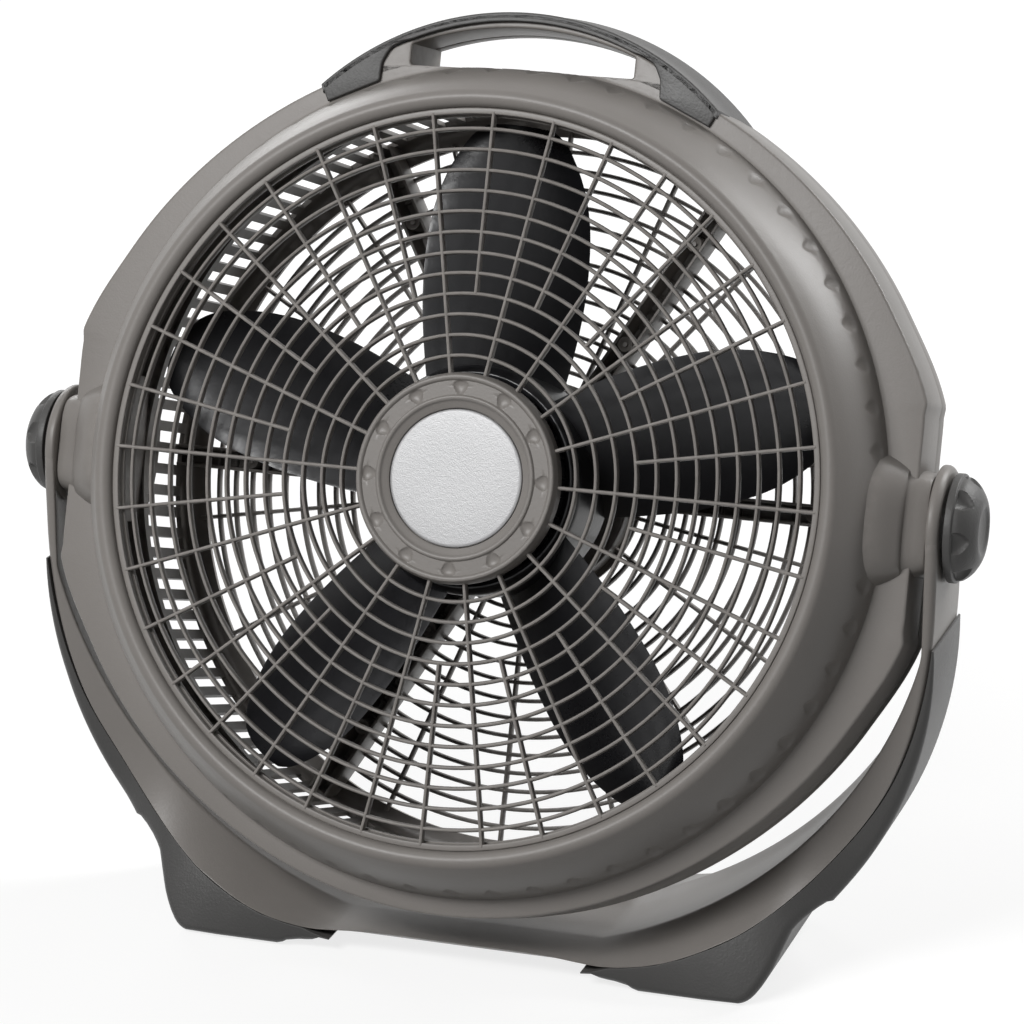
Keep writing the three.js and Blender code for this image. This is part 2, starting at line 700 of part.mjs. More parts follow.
function boltHoles() {
  const radius = roundedUp(BOLT_R + FIT, 6);
  return boltRing(() => disc(radius, boltFront - 2, boltBack + 2, 6));
}

function motorBolts() {
  const head = boltFront - FIT;
  return boltRing(() => turned([
    [0, head - BOLT_HEAD], [BOLT_HEAD_R, head - BOLT_HEAD], [BOLT_HEAD_R, head], [BOLT_R, head],
    [BOLT_R, boltBack + 1], [0, boltBack + 1],
  ], 6));
}

// end bell: a cup over the winding, with a boss for the bush and an ear flange for the bolts
function endBell(face, away) {
  const seat = BUSH_R + FIT;
  const at = (r, y) => [r, face + away * y];
  const cup = turnedRing([
    at(STATOR_R - BELL_WALL, 0), at(STATOR_R + EAR, 0), at(STATOR_R + EAR, earThick), at(STATOR_R, earThick),
    at(STATOR_R - 2, bellDepth), at(seat + WALL, bellDepth), at(seat + WALL, bellDepth + BUSH_LENGTH / 2),
    at(roundedUp(seat, SIDES), bellDepth + BUSH_LENGTH / 2),
    at(roundedUp(seat, SIDES), bellDepth - BELL_WALL),
    at(STATOR_R - BELL_WALL - 2, bellDepth - BELL_WALL),
  ], SIDES);
  return cut(cup, ...boltHoles());
}

function winding(face, away) {
  const inner = ROTOR_R + AIR_GAP + 3;
  const at = (r, y) => [inner + r, face + away * y];
  return turnedRing([
    at(0, 0), at(COIL_WIDTH, 0), at(COIL_WIDTH, COIL * 0.7), at(COIL_WIDTH * 0.7, COIL),
    at(COIL_WIDTH * 0.3, COIL),
    at(0, COIL * 0.7),
  ], SIDES);
}

const bush = (y) =>
  tube(roundedUp(SHAFT_R + RUN, SIDES), BUSH_R, y - BUSH_LENGTH / 2, y + BUSH_LENGTH / 2, SIDES);

// ---------- rear cover and controls ----------

const coverFront = drumDepth + FIT;
const coverBack = coverFront + COVER_DEPTH;
const plateBack = mountFront + PLATE;
const coverInner = coverBack - WALL;

function rearCover() {
  const rim = MOUNT_R + COVER_LIP;
  const hole = roundedUp(SPINDLE_R + 2 * FIT, SIDES);
  const shell = turnedRing([
    [rim, coverFront], [rim, coverFront + WALL], [rim - 0.4 * COVER_ROUND, coverBack - COVER_ROUND / 2],
    [rim - COVER_ROUND, coverBack], [hole, coverBack], [hole, coverInner],
    [rim - COVER_ROUND - WALL / 2, coverInner],
    [rim - 0.4 * COVER_ROUND - WALL, coverBack - (COVER_ROUND + WALL) / 2], [MOUNT_R - 2 * WALL, coverFront],
  ], 18);
  const glandHole = disc(roundedUp(GLAND_R + FIT, 12), coverInner - 1, coverBack + 1, 12);
  return cut(shell, glandHole.translate(0, 0, -glandDrop));
}

function speedSwitch() {
  const half = SWITCH_SIZE / 2;
  const back = coverInner - FIT;
  const body = block(-half, half, back - SWITCH_DEPTH, back, -half, half);
  return cut(body, disc(roundedUp(SPINDLE_R + FIT, 12), back - SWITCH_DEPTH / 2, back + 1, 12));
}

function speedKnob() {
  const front = coverBack + FIT;
  const pointer = KNOB_R / 6;
  const body = turned([
    [0, coverInner - SWITCH_DEPTH / 2 + FIT], [SPINDLE_R, coverInner - SWITCH_DEPTH / 2 + FIT],
    [SPINDLE_R, front],
    [KNOB_R, front], [KNOB_R, front + 3], [KNOB_R - 2, front + KNOB_DEPTH - 5], [0, front + KNOB_DEPTH - 5],
  ], 18);
  const grip = block(-pointer, pointer, front + 1, front + KNOB_DEPTH, -KNOB_R + 3, KNOB_R - 1);
  return join(body, grip);
}

function capacitor() {
  const half = CAPACITOR_WIDTH / 2;
  const front = plateBack + FIT;
  const top = -CAPACITOR_DROP + CAPACITOR_HEIGHT / 2;
  return block(-half, half, front, front + CAPACITOR_DEPTH, top - CAPACITOR_HEIGHT, top);
}

// bushing in the cover where a lead would come out
function cordGland() {
  const inner = GLAND_BORE_R;
  const face = coverBack + FIT;
  const shape = turnedRing([
    [inner, coverInner - 2], [GLAND_R, coverInner - 2], [GLAND_R, face], [GLAND_FLANGE_R, face],
    [GLAND_FLANGE_R, face + 2], [GLAND_R, face + GLAND_LENGTH / 2], [inner + 1, face + GLAND_LENGTH / 2],
    [inner, face + GLAND_LENGTH / 2],
  ], 12);
  return shape.translate(0, 0, -glandDrop);
}

// ---------- stand ----------

const armX = padX + FIT; // inner faces of the arms
const headSweep = max(
  hypot(outlineR, PIVOT_DEPTH - flangeFront),
  hypot(outlineR, lipBack - PIVOT_DEPTH),
  hypot(drumR, drumDepth - PIVOT_DEPTH),
);
const uRadius = headSweep + OUTLINE_SHIFT * cos(PI / 4) + U_GAP;
const bridgeTop = headSweep + SWEEP_GAP; // front and rear lips of the bridge, below the pivot
const bridgeBottom = bridgeTop + BRIDGE_THICK;
const pivotHeight = bridgeBottom + BRIDGE_CLEAR; // tilt axis above the floor
const footBottom = pivotHeight - RUBBER_PROUD;
const bandAtTop = (armX + ARM_THICK) / cos(rad(CLAD_FROM));

// smaller of two lengths, with a rounded change from one to the other
const softMin = (a, b, round) => (a + b - hypot(a - b, round)) / 2;

// U section values at an angle below the pivot, in degrees from 0 to 90
const lipRadius = (deg) => min(armX / cos(rad(min(deg, 80))), uRadius, bridgeTop / sin(rad(max(deg, 1))));

function bandRadius(deg) {
  if (deg < CLAD_FROM) return (armX + ARM_THICK) / cos(rad(deg));
  const widest = uRadius + BAND_THICK;
  const bow = widest - (widest - bandAtTop) * ((BAND_WIDEST - deg) / (BAND_WIDEST - CLAD_FROM)) ** 2;
  return softMin(bow, (bridgeTop - BAND_DROP / 2) / sin(rad(deg)), BAND_ROUND);
}

// underside of the bridge; along the arms it is level with the band's own edge
const underRadius = (deg) => max(bandRadius(deg), lipRadius(deg) + BRIDGE_THICK);

const bandHalf = (deg) => lerp(ARM_R + 1, FOOT_HALF, smoothstep(deg, 38, 68));
const underHalf = (deg) => min(bandHalf(deg) - 1, BRIDGE_BACK);
const skinHalf = (deg) => lerp(ARM_R + 1, FOOT_HALF, smoothstep(deg, 42, 60));

// point of the U at an angle below the pivot, on the right side or mirrored to the left
const onU = (sign, deg, radius, y) => [sign * radius * cos(rad(deg)), y, -radius * sin(rad(deg))];

function standBody() {
  const arm = skinStations().map(([deg]) => deg);
  const bridge = [1, 2].map((i) => lerp(arm.at(-1), 90, i / 3));
  const right = [0, CLAD_FROM / 2, ...arm, ...bridge];
  const sweep = [
    ...right.map((deg) => [1, deg]),
    [1, 90],
    ...[...right].reverse().map((deg) => [-1, deg]),
  ];
  const section = ([sign, deg]) => {
    const lip = lipRadius(deg);
    const band = bandRadius(deg);
    const under = underRadius(deg);
    const half = bandHalf(deg);
    const back = underHalf(deg);
    return [
      onU(sign, deg, band, -half), onU(sign, deg, lip, -LIP_HALF), onU(sign, deg, lip + SCOOP, 0),
      onU(sign, deg, lip, LIP_HALF), onU(sign, deg, band, half),
      onU(sign, deg, under, back), onU(sign, deg, under, -back),
    ];
  };
  const atArm = (radius, x0, x1, sides) =>
    [1, -1].map((sign) => sideways(disc(radius, armX + x0, armX + x1, sides), sign));
  const tops = atArm(ARM_R, 0, ARM_THICK, 18);
  const bores = atArm(roundedUp(STUD_R + FIT, 16), -1, ARM_THICK + 1, 16);
  return cut(join(loft(sweep.map(section)), ...tops), ...bores);
}

const soleOuter = FOOT_X - FOOT_CORNER;
const footTip = FOOT_X - FOOT_SPAN;
const soleInner = lerp(footTip, soleOuter, 0.38);

// outline of the cladding and foot below the pivot, as stations of angle and radius
function skinStations() {
  const skin = (deg) => bandAtTop + SKIN_GROW * (deg - CLAD_FROM) - SKIN_BEND * (deg - CLAD_FROM) ** 2;
  const arm = many(6, (i) => lerp(CLAD_FROM, NECK_FROM, i / 5)).map((deg) => [deg, skin(deg)]);
  const foot = [
    [FOOT_X + 0.7 * FOOT_CORNER, footBottom - 2.5 * FOOT_CORNER], [FOOT_X, footBottom - 1.3 * FOOT_CORNER],
    [FOOT_X - 0.55 * FOOT_CORNER, footBottom - 0.3 * FOOT_CORNER], [soleOuter, footBottom],
    [lerp(soleOuter, soleInner, 0.5), footBottom], [soleInner, footBottom],
    [lerp(soleInner, footTip, 0.5), footBottom - FOOT_RISE / 3], [footTip, footBottom - FOOT_RISE],
  ];
  return [...arm, ...foot.map(([x, drop]) => [THREE.MathUtils.radToDeg(atan2(drop, x)), hypot(x, drop)])];
}

// rubber pad places on one foot: near the front and rear edges of its sole
function rubberBlocks(sign, grow) {
  const mid = (soleOuter + soleInner) / 2;
  const half = RUBBER_LENGTH / 2 + grow;
  const edge = FOOT_HALF - RUBBER_INSET;
  const top = -pivotHeight + RUBBER_THICK + grow;
  return [-1, 1].map((way) => {
    const [near, far] = [way * (edge + grow), way * (edge - RUBBER_WIDTH - grow)];
    return block(sign * mid - half, sign * mid + half, min(near, far), max(near, far), -pivotHeight, top);
  });
}

function cladding(sign) {
  const section = ([deg, radius]) => {
    const [band, under] = [bandRadius(deg) + FIT, underRadius(deg) + FIT];
    const skin = max(radius, under + 1);
    const edge = min(SKIN_EDGE, (skin - band) / 2);
    const [half, inner, back] = [skinHalf(deg), bandHalf(deg), underHalf(deg) + FIT];
    return [
      onU(sign, deg, under, -back), onU(sign, deg, band, -inner),
      onU(sign, deg, skin - edge, -half), onU(sign, deg, skin, edge - half),
      onU(sign, deg, skin, half - edge), onU(sign, deg, skin - edge, half),
      onU(sign, deg, band, inner), onU(sign, deg, under, back),
    ];
  };
  // in the order of the U's own stations, so that the two surfaces are faceted alike
  const stations = sign > 0 ? skinStations() : skinStations().reverse();
  return cut(loft(stations.map(section)), ...rubberBlocks(sign, FIT));
}

// ---------- tilt knobs ----------

const washerX = armX + ARM_THICK + FIT;
const knobX = washerX + WASHER_THICK + FIT;

// turned piece whose axis lies along x, at a given distance to one side
const sideways = (geometry, sign) => geometry.rotateZ(-PI / 2).rotateY(sign > 0 ? 0 : PI);

function tiltKnob(sign) {
  const steps = KNOB_LOBES * 3;
  const section = (radius, hollow, y) => many(steps, (i) => {
    const a = (i * TURN) / steps;
    const r = radius - hollow * (0.5 + 0.5 * cos(KNOB_LOBES * a));
    return [r * cos(a), y, r * sin(a)];
  });
  const end = knobX + KNOB_REACH;
  const body = loft([
    section(KNOB_SKIRT_R, 0, knobX),
    section(KNOB_SKIRT_R, 0, knobX + KNOB_SKIRT),
    section(KNOB_SHOULDER_R, LOBE_CUT, lerp(knobX + KNOB_SKIRT, end, 0.45)),
    section(KNOB_END_R, 0, end),
    section(KNOB_END_R - 2 * KNOB_DISH, 0, end),
    section(KNOB_END_R / 2, 0, end - KNOB_DISH),
  ]);
  const bore = disc(roundedUp(STUD_R + FIT, 16), knobX - 1, knobX + STUD_OUT + FIT, 16);
  return sideways(cut(body, bore), sign);
}

const tiltStud = (sign) => sideways(disc(STUD_R, padX - STUD_IN, knobX + STUD_OUT, 16), sign);

const tiltWasher = (sign) =>
  sideways(tube(roundedUp(STUD_R + FIT, SIDES), WASHER_R, washerX, washerX + WASHER_THICK, SIDES), sign);

// ---------- assembly ----------

const head = new THREE.Group();
addPart(head, 'front_housing', frontHousing(), TAUPE);
addPart(head, 'handle_grip', handleGrip(), CHARCOAL);
addPart(head, 'front_grille', frontGrille(), TAUPE);
addPart(head, 'centre_disc', disc(DISC_R, -DISC_THICK, 0, HUB_SIDES), SILVER);
addPart(head, 'rear_housing', rearHousing(), TAUPE);
addPart(head, 'impeller', impeller(), BLADE_BLACK);
addPart(head, 'impeller_nut', turnedRing([
  [SHAFT_R + FIT, hubFront + 3 - FIT], [SHAFT_R + FIT, hubFront + 3 - NUT_DEPTH],
  [NUT_R - 3, hubFront + 3 - NUT_DEPTH],
  [NUT_R, hubFront - 1], [NUT_R, hubFront + 3 - FIT],
], SIDES), BLADE_BLACK);
addPart(head, 'motor_shaft', disc(SHAFT_R, hubFront - SHAFT_PROUD, shaftBack, SIDES), STEEL);
addPart(head, 'motor_rotor', stack(SHAFT_R + FIT, ROTOR_R), LAMINATION);
addPart(head, 'motor_stator', stack(ROTOR_R + AIR_GAP, STATOR_R), LAMINATION);
addPart(head, 'front_winding', winding(stackFront - FIT, -1), COPPER);
addPart(head, 'rear_winding', winding(stackBack + FIT, 1), COPPER);
addPart(head, 'front_end_bell', endBell(stackFront - FIT, -1), STEEL);
addPart(head, 'rear_end_bell', endBell(stackBack + FIT, 1), STEEL);
addPart(head, 'front_bush', bush(bushFront + BUSH_LENGTH / 2), BRONZE);
addPart(head, 'rear_bush', bush(bushBack - BUSH_LENGTH / 2), BRONZE);
motorBolts().forEach((bolt, i) => addPart(head, `motor_bolt_${i + 1}`, bolt, STEEL));
addPart(head, 'capacitor', capacitor(), CREAM);
addPart(head, 'speed_switch', speedSwitch(), CREAM);
addPart(head, 'motor_cover', rearCover(), TAUPE);
addPart(head, 'speed_knob', speedKnob(), CHARCOAL);
addPart(head, 'cord_gland', cordGland(), CHARCOAL);
for (const mesh of head.children) mesh.position.y = -PIVOT_DEPTH;
head.rotation.x = -rad(TILT);

const fan = new THREE.Group();
fan.add(head);
addPart(fan, 'stand_body', standBody(), TAUPE);
for (const [side, sign] of [['left', -1], ['right', 1]]) {
  addPart(fan, `${side}_foot_cladding`, cladding(sign), CHARCOAL);
  rubberBlocks(sign, 0).forEach((pad, i) => {
    addPart(fan, `${side}_${i ? 'rear' : 'front'}_foot_pad`, pad, RUBBER);
  });
  addPart(fan, `${side}_tilt_washer`, tiltWasher(sign), STEEL);
  addPart(fan, `${side}_tilt_knob`, tiltKnob(sign), CHARCOAL);
  addPart(fan, `${side}_tilt_stud`, tiltStud(sign), STEEL);
}

// the feet stand on the origin's plane, with the origin midway between the front and the back
fan.position.z = pivotHeight;
fan.updateMatrixWorld(true);
const reach = new THREE.Box3().setFromObject(fan, true);
fan.position.y = -(reach.min.y + reach.max.y) / 2;

export default fan;
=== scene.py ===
"""Air circulator fan: a round guarded head that tilts between the arms of a U-shaped stand.

Sizes are in millimetres. Pieces of the head are meshed in the head's own upright frame (x right,
y back from the guard's rim plane, z up) and carry the head's lean as their placing. Pieces of the
stand are meshed from the tilt axis.
"""

import json
import logging
import math
from dataclasses import dataclass
from enum import Enum

import bmesh
import bpy
import numpy as np
from mathutils import Matrix, Vector


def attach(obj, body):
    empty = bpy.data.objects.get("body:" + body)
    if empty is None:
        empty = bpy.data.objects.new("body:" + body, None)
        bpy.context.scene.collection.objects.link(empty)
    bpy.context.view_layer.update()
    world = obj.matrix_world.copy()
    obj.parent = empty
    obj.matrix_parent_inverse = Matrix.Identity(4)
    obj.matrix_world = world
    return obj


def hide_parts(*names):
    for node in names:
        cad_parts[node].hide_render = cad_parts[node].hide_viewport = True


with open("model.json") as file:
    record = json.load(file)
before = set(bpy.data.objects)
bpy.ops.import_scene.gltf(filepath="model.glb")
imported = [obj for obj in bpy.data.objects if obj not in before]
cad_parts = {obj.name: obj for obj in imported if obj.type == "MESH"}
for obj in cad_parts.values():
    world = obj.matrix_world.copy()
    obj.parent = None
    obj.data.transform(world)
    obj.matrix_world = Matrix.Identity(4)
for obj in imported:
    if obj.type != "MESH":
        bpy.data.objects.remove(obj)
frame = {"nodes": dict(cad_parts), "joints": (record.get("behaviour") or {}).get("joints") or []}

LOG = logging.getLogger("fan")
MM = 0.001
TURN = 2 * math.pi
FIT = 0.3  # gap between pieces
WELD = 2e-6  # corners this close, in metres, are one
CRISP = math.radians(34)  # an edge sharper than this stays crisp
TILT = math.radians(18.5)
PIVOT_DEPTH = 69.0
PIVOT = Vector(frame["joints"][0]["pos_m"])
STAND_PLACE = Matrix.Translation(PIVOT)
HEAD_PLACE = STAND_PLACE @ Matrix.Rotation(-TILT, 4, "X") @ Matrix.Translation((0, -PIVOT_DEPTH * MM, 0))

Array = np.ndarray
Socket = bpy.types.NodeSocket
Placed = bpy.types.Object


class Slot(Enum):
    """The finishes of the fan, named as in the record."""

    TAUPE = "taupe_plastic"
    CHARCOAL = "charcoal_plastic"
    BLADE = "blade_plastic"
    DISC = "silver_disc"
    STEEL = "steel"
    LAMINATION = "lamination"
    COPPER = "copper"
    BRONZE = "bronze"
    CREAM = "cream_plastic"
    RUBBER = "rubber"


class Body(Enum):
    """The moving bodies of the fan."""

    STAND = "stand"
    HEAD = "head"
    ROTOR = "rotor"
    SPEED = "speed_control"
    LEFT = "left_clamp"
    RIGHT = "right_clamp"


class Side(Enum):
    """The two sides of the stand, with the sign of x on each."""

    LEFT = -1
    RIGHT = 1

    @property
    def word(self) -> str:
        """Name of the side in lower case."""
        return self.name.lower()


# ---------- shapes ----------


def full_turn(steps: int, start: float = 0.0) -> Array:
    """Even angles round a full turn, from a share of a step on."""
    return (np.arange(steps) + start) * TURN / steps


def ease(value: Array, low: float, high: float) -> Array:
    """Smooth rise from 0 at low to 1 at high.

    Args:
        value: Numbers to ease.
        low: Where the rise starts.
        high: Where it ends.

    Returns:
        The eased numbers.
    """
    t = np.clip((np.asarray(value, float) - low) / (high - low), 0, 1)
    return t * t * (3 - 2 * t)


def lengths(line: Array) -> Array:
    """Distance along a line, at each of its points."""
    return np.concatenate([[0], np.cumsum(np.linalg.norm(np.diff(line, axis=0), axis=1))])


def normals(line: Array) -> Array:
    """Unit directions square to a line, at each of its points.

    Args:
        line: Points in a plane.

    Returns:
        The directions.
    """
    along = np.gradient(line, axis=0)
    along /= np.linalg.norm(along, axis=1, keepdims=True)
    return np.stack([along[:, 1], -along[:, 0]], 1)


def level(count: int, radius: float | Array, y: float) -> Array:
    """Pairs of radius and depth, one for each of many angles, at one depth."""
    return np.stack([np.broadcast_to(radius, count), np.full(count, float(y))], 1)


def bowed(knots: list[tuple[float, float]], at: Array) -> Array:
    """Smooth curve through knots, read at the given places.

    Args:
        knots: Pairs of place and value, rising in place.
        at: Places to read.

    Returns:
        The curve's values.
    """
    x, y = np.array(knots, float).T
    slope = np.gradient(y, x)
    i = np.clip(np.searchsorted(x, at) - 1, 0, len(x) - 2)
    h = x[i + 1] - x[i]
    t = np.clip((at - x[i]) / h, 0, 1)
    start, end = y[i], y[i + 1]
    bend = (1 + 2 * t) * (1 - t) ** 2 * start + t * (1 - t) ** 2 * h * slope[i]
    return bend + t * t * (3 - 2 * t) * end + t * t * (t - 1) * h * slope[i + 1]


def through(points: list[tuple[float, ...]], steps: int) -> Array:
    """Smooth line through points, spaced by their distance.

    Args:
        points: Points of the line.
        steps: Number of points wanted.

    Returns:
        The line's points.
    """
    corner = np.array(points, float)
    run = lengths(corner)
    at = np.linspace(0, run[-1], steps)
    return np.stack([bowed(list(zip(run, corner[:, k])), at) for k in range(corner.shape[1])], 1)


def rounded(points: Array, radius: float | list[float], steps: int = 3, closed: bool = False) -> Array:
    """Rounds the corners of a line, or of many lines at once.

    Args:
        points: Corners, on the last axis but one.
        radius: How far from the corner the rounding starts, for all or for each.
        steps: Segments in each rounding.
        closed: Whether the line closes on itself.

    Returns:
        The rounded line or lines.
    """
    points = np.asarray(points, float)
    count = points.shape[-2]
    reach = [radius] * count if isinstance(radius, (int, float)) else list(radius)
    made = []
    for i in range(count):
        p = points[..., i, :]
        if reach[i] <= 0 or (not closed and i in (0, count - 1)):
            made.append(p)
            continue
        u, v = points[..., i - 1, :] - p, points[..., (i + 1) % count, :] - p
        lu = np.linalg.norm(u, axis=-1, keepdims=True)
        lv = np.linalg.norm(v, axis=-1, keepdims=True)
        d = np.minimum(reach[i], np.minimum(lu, lv) * 0.46)
        a, b = p + u / np.maximum(lu, 1e-9) * d, p + v / np.maximum(lv, 1e-9) * d
        made += [(1 - t) ** 2 * a + 2 * t * (1 - t) * p + t * t * b for t in np.linspace(0, 1, steps + 1)]
    return np.stack(made, -2)


def pill(width: float, depth: float, steps: int = 12, power: float = 2.6) -> Array:
    """Rounded rib section.

    Args:
        width: Width across.
        depth: Depth along y.
        steps: Points round it.
        power: 2 for an ellipse, more for fuller corners.

    Returns:
        Offsets across and along y.
    """
    a = full_turn(steps)
    c, s = np.cos(a), np.sin(a)
    across = np.sign(c) * abs(c) ** (2 / power) * width / 2
    along = np.sign(s) * abs(s) ** (2 / power) * depth / 2
    return np.stack([across, along], 1)


def hollow(across: Array, along: Array, half_across: float, half_along: float, depth: float) -> Array:
    """Depth of a teardrop finger mark, broad at its far end.

    Args:
        across: Distance to the side of its middle.
        along: Distance along it, outwards.
        half_across: Half its width at the middle.
        half_along: Half its length.
        depth: Depth at its deepest.

    Returns:
        Depth at each place.
    """
    flare = 0.45  # share by which it is broader at its far end
    v = along / half_along
    u = across / (half_across * (1 + flare * np.clip(v, -1, 1)))
    return depth * np.sqrt(np.clip(1 - u * u - v * v, 0, 1))


def in_scene(name: str, data: bpy.types.ID) -> Placed:
    """Makes an object and puts it in the scene.

    Args:
        name: Name of the object.
        data: Its mesh, lamp or camera.

    Returns:
        The object.
    """
    obj = bpy.data.objects.new(name, data)
    bpy.context.scene.collection.objects.link(obj)
    return obj


def meshed(line: bpy.types.Curve) -> bpy.types.Mesh:
    """Turns a curve or a text into a mesh, and drops the curve.

    Args:
        line: The curve or text.

    Returns:
        The mesh.
    """
    holder = bpy.data.objects.new(line.name, line)
    mesh = bpy.data.meshes.new_from_object(holder)
    bpy.data.objects.remove(holder)
    bpy.data.curves.remove(line)
    return mesh


class Sheets:
    """The corners and faces of one piece, gathered sheet by sheet."""

    def __init__(self) -> None:
        """Starts with nothing."""
        self.points: list[Array] = []
        self.faces: list[list[int]] = []
        self.count = 0

    def add(self, points: Array) -> int:
        """Adds corners.

        Args:
            points: Corners, in any arrangement of x, y and z.

        Returns:
            The number of the first corner added.
        """
        flat = np.asarray(points, float).reshape(-1, 3)
        self.points.append(flat)
        self.count += len(flat)
        return self.count - len(flat)

    def grid(
        self, grid: Array, rows: bool = False, columns: bool = False, skip: Array | None = None
    ) -> int:
        """Adds a sheet of four-sided faces over rows and columns of corners.

        Args:
            grid: Corners by row and column.
            rows: Whether the last row joins the first.
            columns: Whether the last column joins the first.
            skip: Marks the faces to leave open, by row and column.

        Returns:
            The number of the first corner added.
        """
        n, m = grid.shape[:2]
        first = self.add(grid)
        down, along = np.arange(n if rows else n - 1), np.arange(m if columns else m - 1)
        r, c = np.meshgrid(down, along, indexing="ij")
        r2, c2 = (r + 1) % n, (c + 1) % m
        quads = np.stack([r * m + c, r * m + c2, r2 * m + c2, r2 * m + c], -1) + first
        kept = quads.reshape(-1, 4) if skip is None else quads[~skip]
        self.faces += kept.tolist()
        return first

    def loft(self, sections: Array, ring: bool = False) -> None:
        """Adds a skin over closed sections, with lids unless it closes on itself.

        Args:
            sections: Sections by station and corner.
            ring: Whether the last section joins the first.
        """
        n, m = sections.shape[:2]
        first = self.grid(sections, rows=ring, columns=True)
        if not ring:
            last = first + (n - 1) * m
            self.faces += [list(range(first, first + m)), list(range(last, last + m))]

    def turn(self, profile: Array, steps: int, closed: bool = False) -> None:
        """Adds a revolve of radius and depth about the y axis.

        Args:
            profile: Pairs of radius and y.
            steps: Facets round it.
            closed: Whether the profile closes on itself.
        """
        self.grid(around(np.asarray(profile, float)[None, :, :], full_turn(steps)), rows=True, columns=closed)

    def spoke(self, angle: float, start: float, end: float, section: Array, y: float) -> None:
        """Adds a straight radial bar.

        Args:
            angle: Its angle about the y axis.
            start: Radius of its inner end.
            end: Radius of its outer end.
            section: Its section, across and along y.
            y: Depth of its middle.
        """
        out = np.array([math.cos(angle), 0, math.sin(angle)])
        side = np.array([-math.sin(angle), 0, math.cos(angle)])
        across = side * section[:, :1] + np.array([0, 1, 0]) * section[:, 1:]
        self.loft(np.stack([out * r + across + [0, y, 0] for r in (start, end)]))

    def box(self, low: tuple[float, ...], high: tuple[float, ...], edge: float) -> None:
        """Adds a block with rounded edges along x.

        Args:
            low: Lowest corner.
            high: Highest corner.
            edge: Rounding of its long edges.
        """
        (x0, y0, z0), (x1, y1, z1) = low, high
        ring = rounded(np.array([[y0, z0], [y1, z0], [y1, z1], [y0, z1]]), edge, 3, True)
        self.loft(np.stack([np.column_stack([np.full(len(ring), x), ring]) for x in (x0, x1)]))

    def plate(self, outlines: list[Array], y0: float, y1: float, edge: float) -> None:
        """Adds a flat plate with rounded edges, drawn in x and z, where inner outlines are holes.

        Args:
            outlines: Closed outlines.
            y0: Front face.
            y1: Back face.
            edge: Rounding of its edges.
        """
        line = bpy.data.curves.new("plate", "CURVE")
        line.dimensions, line.fill_mode = "2D", "BOTH"
        line.extrude, line.bevel_depth = (y1 - y0) / 2 - edge, edge
        line.bevel_resolution, line.offset = 3, -edge
        for outline in outlines:
            spline = line.splines.new("POLY")
            spline.points.add(len(outline) - 1)
            spline.use_cyclic_u = True
            for point, (x, z) in zip(spline.points, outline):
                point.co = (x, z, 0, 1)
        mesh = meshed(line)
        at = np.array([v.co for v in mesh.vertices], float)
        first = self.add(np.stack([at[:, 0], (y0 + y1) / 2 - at[:, 2], at[:, 1]], 1))
        self.faces += [[first + i for i in face.vertices] for face in mesh.polygons]
        bpy.data.meshes.remove(mesh)

    def made(self, name: str, place: Matrix) -> Placed:
        """Makes the mesh object.

        Args:
            name: Name of the piece.
            place: Its placing in the row frame.

        Returns:
            The new object.
        """
        mesh = bpy.data.meshes.new(name)
        mesh.from_pydata((np.concatenate(self.points) * MM).tolist(), [], self.faces)
        mesh.transform(place)
        work = bmesh.new()
        work.from_mesh(mesh)
        bmesh.ops.remove_doubles(work, verts=work.verts, dist=WELD)
        bmesh.ops.recalc_face_normals(work, faces=work.faces)
        work.to_mesh(mesh)
        work.free()
        mesh.shade_smooth()
        mesh.set_sharp_from_angle(angle=CRISP)
        return in_scene(name, mesh)


def around(profile: Array, angles: Array) -> Array:
    """Places sections of radius and y at angles about the y axis.

    Args:
        profile: Sections by station, or one for all.
        angles: Angles in radians.

    Returns:
        Corners by angle and section point.
    """
    both = np.broadcast_to(profile, (len(angles), *profile.shape[1:]))
    r, y, a = both[..., 0], both[..., 1], angles[:, None]
    return np.stack([r * np.cos(a), y, r * np.sin(a)], -1)


def sideways(side: Side, points: Array) -> Array:
    """Turns corners meshed about the y axis to lie about x on one side.

    Args:
        side: The side.
        points: Corners whose y is the distance out from the middle.

    Returns:
        The turned corners.
    """
    return np.stack([side.value * points[..., 1], side.value * points[..., 0], points[..., 2]], -1)


# ---------- finishes ----------


